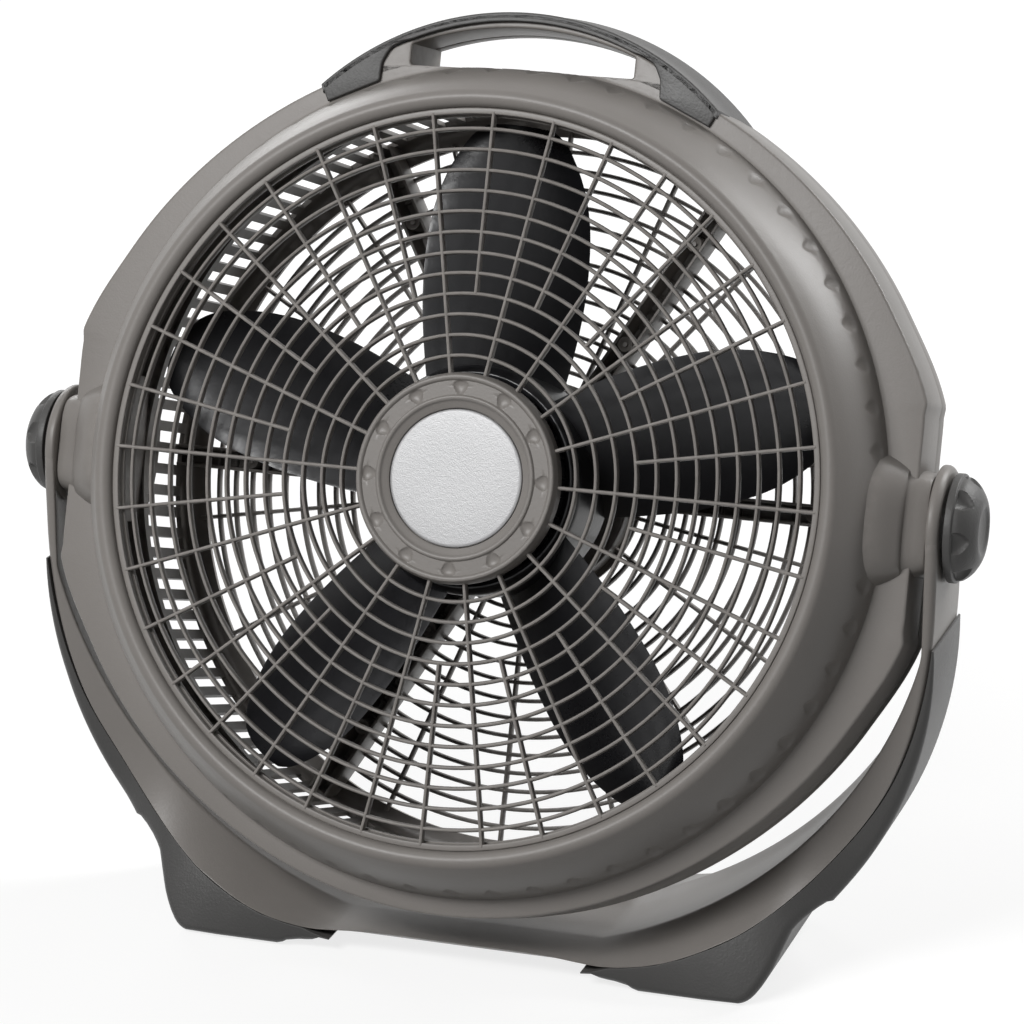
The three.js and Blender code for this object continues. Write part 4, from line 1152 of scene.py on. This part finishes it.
@dataclass
class RearShell:
    """Rear housing: lip, slotted drum, rear guard with struts, and the motor's mounting plate."""

    outline: Outline
    parting: float = 75.3
    lip_back: float = 87.0
    lip_inner: float = 226.0
    drum: float = 228.0
    wall: float = 3.0
    front: float = 84.0  # front of the drum
    depth: float = 156.0
    slots: int = 110
    slot_front: float = 90.0
    slot_back: float = 142.0
    share: float = 0.52  # of the pitch, open
    rings: int = 13
    spokes: int = 18
    struts: int = 6
    mount: float = 62.0
    bosses: tuple[float, float] = (104.0, 176.0)  # radii of the screw bosses

    # the drum's rear rim, outside and inside: in from the drum's radius, and up from its back
    OUTSIDE = [(0, 8), (0.9, 4.6), (3, 1.9), (6, 0.4), (9, 0), (16, 0)]
    INSIDE = [(3, 8), (3.8, 6), (5, 4.4), (7, 3.4), (9, 3), (16, 3)]
    GIRDER = [(-6.5, -12), (-4.6, -12), (-4.2, 8.6), (4.2, 8.6), (4.6, -12), (6.5, -12), (6.5, 11.4),
              (-6.5, 11.4)]
    BOSS = [(0, 133), (1.4, 133), (1.4, 135), (4.4, 133), (4.8, 134), (4.8, 152), (0, 152)]

    def build(self) -> Placed:
        """Meshes the housing.

        Returns:
            The housing's object.
        """
        sheets = Sheets()
        self._lip(sheets)
        self._drum(sheets)
        self._guard(sheets)
        self._mount(sheets)
        return sheets.made("rear_shell", HEAD_PLACE)

    def _lip(self, sheets: Sheets) -> None:
        """Adds the lip that meets the front housing.

        Args:
            sheets: Where it goes.
        """
        angles = np.radians(np.arange(0, 360, 0.5))
        section = np.stack([
            self.outline.at(angles, FIT, self.parting),
            self.outline.at(angles, FIT, self.lip_back),
            level(len(angles), self.lip_inner, self.lip_back),
            level(len(angles), self.lip_inner, self.front),
            self.outline.at(angles, self.wall + FIT, self.front),
            self.outline.at(angles, self.wall + FIT, self.parting),
        ], 1)
        section = rounded(section, [0.4, 1.6, 0, 0, 0, 0.3], 3, True)
        sheets.grid(around(section, angles), rows=True, columns=True)

    def _skin(self, inset: float, rim: list[tuple[float, float]]) -> Array:
        """Profile of one skin of the drum, from its front to its rear rim.

        Args:
            inset: Its distance in from the drum's radius.
            rim: Its rear rim.

        Returns:
            The profile, as one section for all angles.
        """
        side = [(self.drum - inset, y) for y in (self.front, self.slot_front, self.slot_back)]
        return np.array([side + [(self.drum - r, self.depth - up) for r, up in rim]])

    def _drum(self, sheets: Sheets) -> None:
        """Adds the drum with its side slots and rounded rear rim.

        Args:
            sheets: Where it goes.
        """
        pitch = TURN / self.slots
        angles = (np.arange(self.slots)[:, None] * pitch + np.array([0, self.share * pitch])).ravel()
        outside, inside = self._skin(0, self.OUTSIDE), self._skin(self.wall, self.INSIDE)
        n, m = len(angles), outside.shape[1]
        skip = np.zeros((n, m - 1), bool)
        skip[::2, 1] = True
        outer = sheets.grid(around(outside, angles), rows=True, skip=skip)
        inner = sheets.grid(around(inside, angles), rows=True, skip=skip)
        for i in range(n):
            here, there = i * m, (i + 1) % n * m
            edges = [(here, there), (here + m - 1, there + m - 1), (here + 1, here + 2)]
            if i % 2 == 0:
                edges += [(here + 1, there + 1), (here + 2, there + 2)]
            sheets.faces += [[outer + a, outer + b, inner + b, inner + a] for a, b in edges]

    def _guard(self, sheets: Sheets) -> None:
        """Adds the rear guard's rings, spokes and struts.

        Args:
            sheets: Where it goes.
        """
        pitch = (self.drum - 14 - self.mount) / (self.rings + 1)
        ring = pill(2.6, 6.0)
        for k in range(1, self.rings + 1):
            sheets.turn(ring + [self.mount + k * pitch, self.depth - 3.4], 180, True)
        bar = pill(2.6, 6.2)
        for angle in full_turn(self.spokes, 0.5):
            sheets.spoke(angle, self.mount - 1, self.drum - 13, bar, self.depth - 3.6)
        girder = rounded(np.array(self.GIRDER), 0.8, 2, True)
        for angle in full_turn(self.struts):
            sheets.spoke(angle, self.mount - 2, self.drum - 4, girder, self.depth - 12.3)
            for radius in self.bosses:
                self._boss(sheets, radius, angle)

    def _boss(self, sheets: Sheets, radius: float, angle: float) -> None:
        """Adds a screw boss inside a strut.

        Args:
            sheets: Where it goes.
            radius: Its distance from the axis.
            angle: The strut's angle.
        """
        rings = np.swapaxes(around(np.array([self.BOSS]), full_turn(20)), 0, 1)
        middle = np.array([radius * math.cos(angle), 0, radius * math.sin(angle)])
        sheets.grid(rings + middle, columns=True)

    def _mount(self, sheets: Sheets) -> None:
        """Adds the plate that carries the motor.

        Args:
            sheets: Where it goes.
        """
        m, back = self.mount, self.depth
        profile = [[16, 138], [m - 1, 138], [m, 139], [m, back], [m - 3, back], [m - 3, 142], [16, 142]]
        sheets.turn(rounded(np.array(profile), 0.6, 2, True), 96, True)


@dataclass
class FanWheel:
    """Impeller: a domed hub and five twisted blades."""

    blades: int = 5
    fins: int = 30
    tip: float = 206.0
    shell: float = 66.0
    front: float = 20.0
    back: float = 84.0
    middle: float = 54.0
    thick: float = 2.6
    camber: float = 7.0
    root_arc: float = 68.0
    mid_arc: float = 84.0
    tip_arc: float = 42.0
    root_pitch: float = 40.0
    tip_pitch: float = 24.0

    def build(self) -> Placed:
        """Meshes the impeller.

        Returns:
            The impeller's object.
        """
        sheets = Sheets()
        shell, inside = self.shell, self.shell - 3
        hub = np.array([
            [4.3, 23], [15, 23], [15, self.front], [47, self.front], [49, 33], [57, 34], [58.5, 20.5],
            [61.5, 18.4], [shell, 24.5], [shell, self.back], [inside, self.back], [inside, 38], [12, 37],
            [12, 40], [4.3, 40],
        ])
        hub = rounded(hub, [0.3, 0.3, 1, 2, 3, 3, 0.8, 3.4, 3.4, 0.6, 0.6, 0, 0, 0.5, 0.3], 4, True)
        sheets.turn(hub, 96, True)
        fin = rounded(np.array([[-0.9, -5], [0.9, -5], [0.9, 6], [-0.9, 6]]), 0.5, 2, True)
        for angle in full_turn(self.fins, 0.5):
            sheets.spoke(angle, 46, self.shell - 3, fin, 29)
        for angle in full_turn(self.blades):
            self._blade(sheets, math.pi / 2 + angle)
        return sheets.made("fan_wheel", HEAD_PLACE)

    def _blade(self, sheets: Sheets, angle: float) -> None:
        """Adds one blade.

        Args:
            sheets: Where it goes.
            angle: Angle of its middle.
        """
        # share of the way from the hub to the tip, closest near the tip's rounding
        t = np.concatenate([np.linspace(0, 0.92, 24), np.linspace(0.935, 0.985, 6), [0.993, 0.998, 1.0]])
        radius = self.shell - 2 + (self.tip - self.shell + 2) * t
        swell = np.sin(np.minimum(t / 0.5, 1) * math.pi / 2)
        narrow = np.clip((t - 0.5) / 0.5, 0, 1) ** 2.6
        arc = (self.root_arc + (self.mid_arc - self.root_arc) * swell) * (1 - narrow) + self.tip_arc * narrow
        arc *= 1 - 0.16 * np.clip((t - 0.93) / 0.07, 0, 1) ** 3
        slope = np.tan(np.radians(self.root_pitch + (self.tip_pitch - self.root_pitch) * t))
        along = np.sin(np.linspace(-math.pi / 2, math.pi / 2, 21)) / 2
        fall = 4 * along ** 2
        s = along[None, :] * arc[:, None]
        a = angle + s / radius[:, None]
        sides = []
        for face in (1, -1):
            half = face * self.thick * np.sqrt(np.clip(1 - fall ** 2, 0, 1)) / 2 * (0.35 + 0.65 * (1 - fall))
            y = self.middle - s * slope[:, None] - self.camber * (1 - fall) + half
            sides.append(np.stack([radius[:, None] * np.cos(a), y, radius[:, None] * np.sin(a)], -1))
        sheets.loft(np.concatenate([sides[0], sides[1][:, -2:0:-1]], 1))


@dataclass
class RearControls:
    """Rear cover with its speed dial and the numbers round it."""

    rim: float = 65.5
    front: float = 156.3
    back: float = 178.3
    knob: float = 17.0
    flutes: int = 24
    socket: float = 168.3  # depth at which the dial's stem starts
    number_radius: float = 27.5
    number_size: float = 7.0
    number_height: float = 0.25

    def cover(self) -> Placed:
        """Meshes the cover.

        Returns:
            The cover's object.
        """
        sheets = Sheets()
        r, f, b = self.rim, self.front, self.back
        profile = np.array([
            [r, f], [r, f + 3], [r - 3, f + 9], [r - 7, b - 6], [r - 14, b], [24, b], [22.6, b - 1.2],
            [19.5, b - 1.2], [18.8, b - 0.6], [4.2, b - 0.6], [4.2, b - 3], [r - 16, b - 3],
            [r - 9, b - 9], [r - 9.5, f],
        ])
        profile = rounded(profile, [0.8, 1.4, 3, 5, 3, 0.6, 0.6, 0.4, 0.3, 0, 0, 0, 0, 0], 4, True)
        sheets.turn(profile, 128, True)
        return sheets.made("cover", HEAD_PLACE)

    def dial(self) -> Placed:
        """Meshes the speed knob.

        Returns:
            The knob's object.
        """
        sheets = Sheets()
        front, r = self.back + FIT, self.knob
        # radius, depth, and how deep the flutes are there
        rings = [(0, self.socket, 0), (3, self.socket, 0), (3, front, 0), (r - 0.6, front, 0),
                 (r, front + 0.6, 0), (r, front + 2.6, 0), (r - 1, front + 3.2, 0.5), (r - 2, front + 9, 0.5),
                 (r - 3, front + 10, 0.2), (0, front + 10, 0)]
        a = full_turn(6 * self.flutes)
        flute = 0.5 * (1 + np.cos(self.flutes * a))
        section = np.stack([level(len(a), radius - deep * flute, y) for radius, y, deep in rings], 1)
        sheets.grid(np.swapaxes(around(section, a), 0, 1), columns=True)
        sheets.box((-2.8, front + 1, -14), (2.8, front + 14.8, 15.8), 1.6)
        return sheets.made("speed_dial", HEAD_PLACE)

    def marks(self) -> list[Placed]:
        """Meshes the numbers round the dial.

        Returns:
            The numbers' objects.
        """
        made = []
        facing = Matrix.Rotation(math.pi, 4, "Z") @ Matrix.Rotation(math.pi / 2, 4, "X")
        for i, word in enumerate("0123"):
            line = bpy.data.curves.new("dial_number", "FONT")
            line.body, line.size, line.extrude = word, self.number_size * MM, self.number_height * MM
            line.align_x, line.align_y = "CENTER", "CENTER"
            mesh = meshed(line)
            angle = math.radians(90 + 45 * i)
            out = Vector((math.cos(angle), 0, math.sin(angle))) * self.number_radius
            at = Matrix.Translation((out + Vector((0, self.back, 0))) * MM)
            mesh.transform(HEAD_PLACE @ at @ facing)
            made.append(in_scene(f"dial_number_{word}", mesh))
        return made


# ---------- stand ----------


@dataclass
class Stand:
    """U-shaped stand: two arms that widen into a low bridge, dark claddings with the feet."""

    arm_x: float = 263.0
    arm_thick: float = 7.0
    arm_top: float = 35.0
    sweep: float = 271.5
    bridge_top: float = 260.0
    bridge_thick: float = 6.0
    lip_half: float = 35.0
    scoop: float = 2.6
    foot_half: float = 75.0
    clad_from: float = 13.0

    # angle below the pivot in degrees, and radius, of the arm's outer edge ...
    EDGE = [(0, 270), (6, 271.5), (13, 276), (20, 281), (25, 284.5), (31.7, 288), (36, 288.9), (41, 289.7),
            (46.5, 290.5), (51, 290.7), (55, 290), (58.7, 288), (63, 285), (67.3, 280.7), (71.3, 275.7),
            (73.8, 271), (77, 265.6), (80, 262.2), (85, 259), (90, 258)]
    # ... and of the cladding's outside where it bends into the foot
    BEND = [(45.9, 306.4), (47, 305.4), (48.3, 304.9), (49.4, 305.2), (50.2, 306)]
    # the foot's outline from there: out from the middle, and below the pivot
    SOLE = [(189.8, 250.9), (187.7, 256.2), (185.2, 261.1), (182.5, 265.7), (179.4, 269.9), (177.6, 271.8),
            (175.6, 273.3), (173.4, 274.4), (171, 275), (150, 275), (130, 275), (112, 275), (108.5, 274),
            (106, 272.5), (98, 270.9), (93, 270.5), (89, 269.3), (84, 266.4), (76.4, 262.2)]

    def lip(self, degrees: Array) -> Array:
        """Radius of the inner lips.

        Args:
            degrees: Angles below the pivot.

        Returns:
            The radii.
        """
        flat = self.arm_x / np.cos(np.radians(np.minimum(degrees, 80)))
        low = self.bridge_top / np.sin(np.radians(np.maximum(degrees, 1)))
        return np.minimum(np.minimum(flat, self.sweep), low)

    def edge(self, degrees: Array) -> Array:
        """Radius of the outer edge at angles below the pivot."""
        return bowed(self.EDGE, degrees)

    def half(self, degrees: Array, start: float = 36, end: float = 68) -> Array:
        """Half depth at angles below the pivot: it grows to the foot's from a first angle to a last."""
        return self.lip_half + (self.foot_half - self.lip_half) * ease(degrees, start, end)

    def under(self, degrees: Array) -> Array:
        """Radius of the U's outer face at angles below the pivot."""
        return np.maximum(self.edge(degrees), self.lip(degrees) + self.bridge_thick * ease(degrees, 40, 62))

    @staticmethod
    def on_u(sign: Array, degrees: Array, corners: list[tuple[Array, Array]]) -> Array:
        """Sections of the U at angles below the pivot.

        Args:
            sign: Sign of x at each angle.
            degrees: The angles.
            corners: Radius and y of each corner of the section, at each angle.

        Returns:
            Corners by angle and section point.
        """
        across, down = sign * np.cos(np.radians(degrees)), -np.sin(np.radians(degrees))
        lines = [np.stack([r * across, np.broadcast_to(y, r.shape), r * down], -1) for r, y in corners]
        return np.stack(lines, 1)

    def body(self) -> Placed:
        """Meshes the U with its arm tops.

        Returns:
            The stand's object.
        """
        down = np.concatenate([np.linspace(0, 12, 7), np.linspace(13, 73, 61), np.linspace(73.8, 89, 16)])
        degrees = np.concatenate([down, [90], down[::-1]])
        sign = np.concatenate([np.ones(len(down)), [1], -np.ones(len(down))])
        lip, half, under = self.lip(degrees), self.half(degrees), self.under(degrees)
        dip = lip + self.scoop
        turned = 2.5 * (1 - ease(degrees, 14, 38))
        rim = self.edge(degrees) - turned
        narrow = np.minimum(half - 1 - 0.64 * turned, 60)
        section = self.on_u(sign, degrees, [
            (rim, -half), (lip, -self.lip_half), (dip, -20), (dip, 20),
            (lip, self.lip_half), (rim, half), (under, narrow), (under, -narrow),
        ])
        sheets = Sheets()
        sheets.loft(rounded(section, [1.6, 2.2, 12, 12, 2.2, 1.6, 1.6, 1.6], 4, True))
        r, x0, x1 = self.arm_top, self.arm_x, self.arm_x + self.arm_thick
        top = np.array([[0, x0], [r - 1.6, x0], [r, x0 + 1], [r, x1 - 2.5], [r - 2.6, x1], [0, x1]])
        top = rounded(top, [0, 0.8, 0.8, 2.4, 2.4, 0], 4)
        for side in Side:
            sheets.grid(sideways(side, around(top[None], full_turn(96))), rows=True)
        return sheets.made("u_frame", STAND_PLACE)

    def skin(self) -> tuple[Array, Array]:
        """Stations down the outside of the cladding and round the foot.

        Returns:
            Angles below the pivot in degrees, and radii.
        """
        d = np.linspace(0, 32.4, 28)
        arm = np.stack([self.clad_from + d, 277.5 + 1.35 * d - 0.0125 * d * d], 1)
        sole = [(math.degrees(math.atan2(z, x)), math.hypot(x, z)) for x, z in self.SOLE]
        every = np.concatenate([arm, self.BEND, sole])
        return every[:, 0], every[:, 1]

    def cladding(self, side: Side) -> Placed:
        """Meshes the dark cladding and foot of one side.

        Args:
            side: The side.

        Returns:
            The cladding's object.
        """
        degrees, skin = self.skin()
        band = self.under(degrees) + FIT
        skin = np.maximum(skin, band + 0.9)
        edge = np.minimum(4, (skin - band) / 2)
        inner, half = self.half(degrees), self.half(degrees, 42, 60)
        section = self.on_u(np.full(len(degrees), float(side.value)), degrees, [
            (band, -inner), (skin - edge, -half), (skin, edge - half),
            (skin, half - edge), (skin - edge, half), (band, inner),
        ])
        sheets = Sheets()
        sheets.loft(rounded(section, [0.4, 3, 3, 3, 3, 0.4], 4, True))
        return sheets.made(f"{side.word}_cladding", STAND_PLACE)


@dataclass
class TiltKnob:
    """Clamping knob on the tilt axis: stepped skirt, dome with seven finger hollows, dished end."""

    inner: float = 272.1
    lobes: int = 7
    dome_points: int = 60
    mark_radius: float = 27.0
    mark_height: float = 9.4
    mark_half_width: float = 5.6
    mark_half_length: float = 6.4
    mark_depth: float = 3.2

    SKIRT = [(0, 0), (30.6, 0), (31, 0.4), (31, 4.0), (30.6, 4.4), (29.7, 4.7), (29.6, 5.2)]
    DOME = [(29.6, 5.2), (29.2, 7.2), (27.4, 10.0), (24.9, 12.6), (22, 14.6), (18.6, 16.4), (15.6, 17.22),
            (13.6, 17.12), (11.5, 16.2), (8, 15.5), (0, 15.2)]

    def build(self, side: Side) -> Placed:
        """Meshes the knob.

        Args:
            side: Its side.

        Returns:
            The knob's object.
        """
        skirt = rounded(np.array(self.SKIRT), [0, 0.3, 0.3, 0.3, 0.3, 0.2, 0], 2)[:-1]
        profile = np.concatenate([skirt, through(self.DOME, self.dome_points)])
        run = lengths(profile)
        start = len(skirt)
        rising = slice(start, start + 2 * self.dome_points // 3)
        middle = np.interp(self.mark_height, profile[rising, 1], run[rising])
        a = full_turn(36 * self.lobes)
        off = (a % (TURN / self.lobes)) - math.pi / self.lobes
        cut = hollow(off[:, None] * self.mark_radius, (middle - run)[None, :], self.mark_half_width,
                     self.mark_half_length, self.mark_depth)
        cut[:, :start] = 0
        grid = profile - cut[..., None] * normals(profile)
        grid[..., 1] += self.inner
        sheets = Sheets()
        sheets.grid(sideways(side, around(grid, a)), rows=True)
        return sheets.made(f"{side.word}_knob", STAND_PLACE)


# ---------- studio ----------


@dataclass
class Studio:
    """Camera, pale floor and plain soft light."""

    azimuth: float = 18.377
    elevation: float = 17.338
    lens: float = 144.19
    place: tuple[float, float, float] = (0.72775, -2.15666, 0.69319)  # of the camera, from the pivot
    focus: float = 0.28  # height at which the lamps look

    # name, place, width and height, watts
    LAMPS = (
        ("key_front", (-0.85, -2.2, 1.95), (1.3, 0.7), 64),
        ("top_left", (-1.2, -0.4, 2.5), (0.9, 0.7), 3),
        ("rim_right", (1.4, 1.45, 1.7), (0.5, 1.6), 42),
        ("back_right", (2.1, 1.3, 0.8), (0.6, 1.0), 1.5),
        ("back_left", (-1.6, 1.8, 1.3), (1.0, 0.8), 11),
    )

    def camera(self) -> None:
        """Places the camera at the photograph's viewing angle."""
        data = bpy.data.cameras.new("camera")
        data.lens, data.sensor_width = self.lens, 36.0
        data.clip_start, data.clip_end = 0.05, 50
        obj = in_scene("camera", data)
        a, e = math.radians(self.azimuth), math.radians(self.elevation)
        back = Vector((math.sin(a) * math.cos(e), -math.cos(a) * math.cos(e), math.sin(e)))
        self._aim(obj, PIVOT + Vector(self.place), back)
        bpy.context.scene.camera = obj

    @staticmethod
    def _aim(obj: Placed, place: Vector, back: Vector) -> None:
        """Puts a camera or lamp in its place.

        Args:
            obj: The camera or lamp.
            place: Its place.
            back: The way that its back is turned.
        """
        obj.location = place
        obj.rotation_mode = "QUATERNION"
        obj.rotation_quaternion = back.to_track_quat("Z", "Y")

    def floor(self) -> None:
        """Lays the floor, white to the camera except where the fan shades it. Its glow is painted light:
        weaker near the fan and stronger far off, making up for the lamps' falloff.
        """
        mesh = bpy.data.meshes.new("floor")
        mesh.from_pydata([(-20, -20, 0), (20, -20, 0), (20, 20, 0), (-20, 20, 0)], [], [(0, 1, 2, 3)])
        in_scene("floor", mesh)
        made = bpy.data.materials.new("pale_floor")
        made.use_nodes = True
        g = Graph(made.node_tree)
        made.node_tree.nodes.clear()
        place = g.place()
        tone = g.mix(g.noise(3.0, at=place), (0.24, 0.24, 0.238, 1), (0.27, 0.27, 0.268, 1))
        matt = g.node("BsdfDiffuse", {"Color": tone})
        away = g.node("VectorMath", {0: place}, operation="LENGTH").outputs["Value"]
        # painted light: the glow seen by the camera rises from 0.79 near the fan to 0.98 far off, making up
        # for the lamps' falloff, so the floor near the fan is painted darker
        strength = g.math("MULTIPLY", self._seen(g), g.spread(away, 0.4, 2.4, 0.79, 0.98))
        lift = g.node("Emission", {"Color": (1, 1, 1, 1), "Strength": strength})
        both = g.node("AddShader", {0: matt.outputs[0], 1: lift.outputs[0]})
        g.node("OutputMaterial", {0: both.outputs[0]})
        mesh.materials.append(made)

    @staticmethod
    def _seen(g: Graph) -> Socket:
        """Tells the rays that show the background, straight or in a gloss.

        Args:
            g: The graph to wire.

        Returns:
            1 for such rays, otherwise 0.
        """
        path = g.node("LightPath").outputs
        both = g.math("MAXIMUM", path["Is Camera Ray"], path["Is Glossy Ray"])
        return g.math("MAXIMUM", both, path["Is Transmission Ray"])

    def world(self) -> None:
        """Sets a white background and an even soft light from all round."""
        world = bpy.data.worlds.new("studio")
        world.use_nodes = True
        g = Graph(world.node_tree)
        sky = next(n for n in world.node_tree.nodes if n.type == "BACKGROUND")
        g.wire(sky, {0: (1, 1, 1, 1), 1: g.spread(self._seen(g), 0, 1, 0.075, 1.0)})
        bpy.context.scene.world = world

    def lights(self) -> None:
        """Sets the lamps: soft boxes that look at the fan."""
        for name, place, size, power in self.LAMPS:
            data = bpy.data.lights.new(name, "AREA")
            data.shape, data.size, data.size_y, data.energy = "RECTANGLE", *size, power
            self._aim(in_scene(name, data), Vector(place), Vector(place) - Vector((0, 0, self.focus)))


# solids that keep their own shape, by finish
CARRIED = {
    Slot.STEEL: ("motor_shaft", "front_end_bell", "rear_end_bell", *(f"motor_bolt_{i}" for i in range(1, 5)),
                 *(f"{side.word}_tilt_{piece}" for piece in ("stud", "washer") for side in Side)),
    Slot.LAMINATION: ("motor_rotor", "motor_stator"),
    Slot.COPPER: ("front_winding", "rear_winding"),
    Slot.BRONZE: ("front_bush", "rear_bush"),
    Slot.CREAM: ("capacitor", "speed_switch"),
    Slot.BLADE: ("impeller_nut",),
    Slot.CHARCOAL: ("cord_gland",),
    Slot.RUBBER: tuple(f"{side.word}_{end}_foot_pad" for side in Side for end in ("front", "rear")),
}


def main() -> None:
    """Builds the fan's looks piece by piece."""
    logging.basicConfig(level=logging.INFO, format="%(name)s: %(message)s")
    scene = bpy.context.scene
    scene.view_settings.view_transform = "Standard"
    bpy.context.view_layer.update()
    studio = Studio()
    studio.camera()
    studio.floor()
    studio.world()
    studio.lights()
    shop = Workshop()
    outline = Outline()

    shop.fit(FrontShell(outline).build(), Slot.TAUPE, Body.HEAD, ("front_housing",))
    handle = CarryHandle()
    shop.fit(handle.frame(), Slot.TAUPE, Body.HEAD)
    shop.fit(handle.dark_grip(), Slot.CHARCOAL, Body.HEAD, ("handle_grip",))
    guard = FrontGuard()
    shop.fit(guard.build(), Slot.TAUPE, Body.HEAD, ("front_grille",))
    shop.fit(guard.disc(), Slot.DISC, Body.HEAD, ("centre_disc",))
    shop.fit(RearShell(outline).build(), Slot.TAUPE, Body.HEAD, ("rear_housing",))
    shop.fit(FanWheel().build(), Slot.BLADE, Body.ROTOR, ("impeller",))
    controls = RearControls()
    shop.fit(controls.cover(), Slot.TAUPE, Body.HEAD, ("motor_cover",))
    shop.fit(controls.dial(), Slot.CHARCOAL, Body.SPEED, ("speed_knob",))
    for number in controls.marks():
        shop.fit(number, Slot.CREAM, Body.HEAD)

    stand = Stand()
    shop.fit(stand.body(), Slot.TAUPE, Body.STAND, ("stand_body",))
    for side in Side:
        shop.fit(stand.cladding(side), Slot.CHARCOAL, Body.STAND, (f"{side.word}_foot_cladding",))
        shop.fit(TiltKnob().build(side), Slot.CHARCOAL, Body[side.name], (f"{side.word}_tilt_knob",))
    for slot, names in CARRIED.items():
        for name in names:
            shop.carry_over(name, slot)


if __name__ == "__main__":
    main()
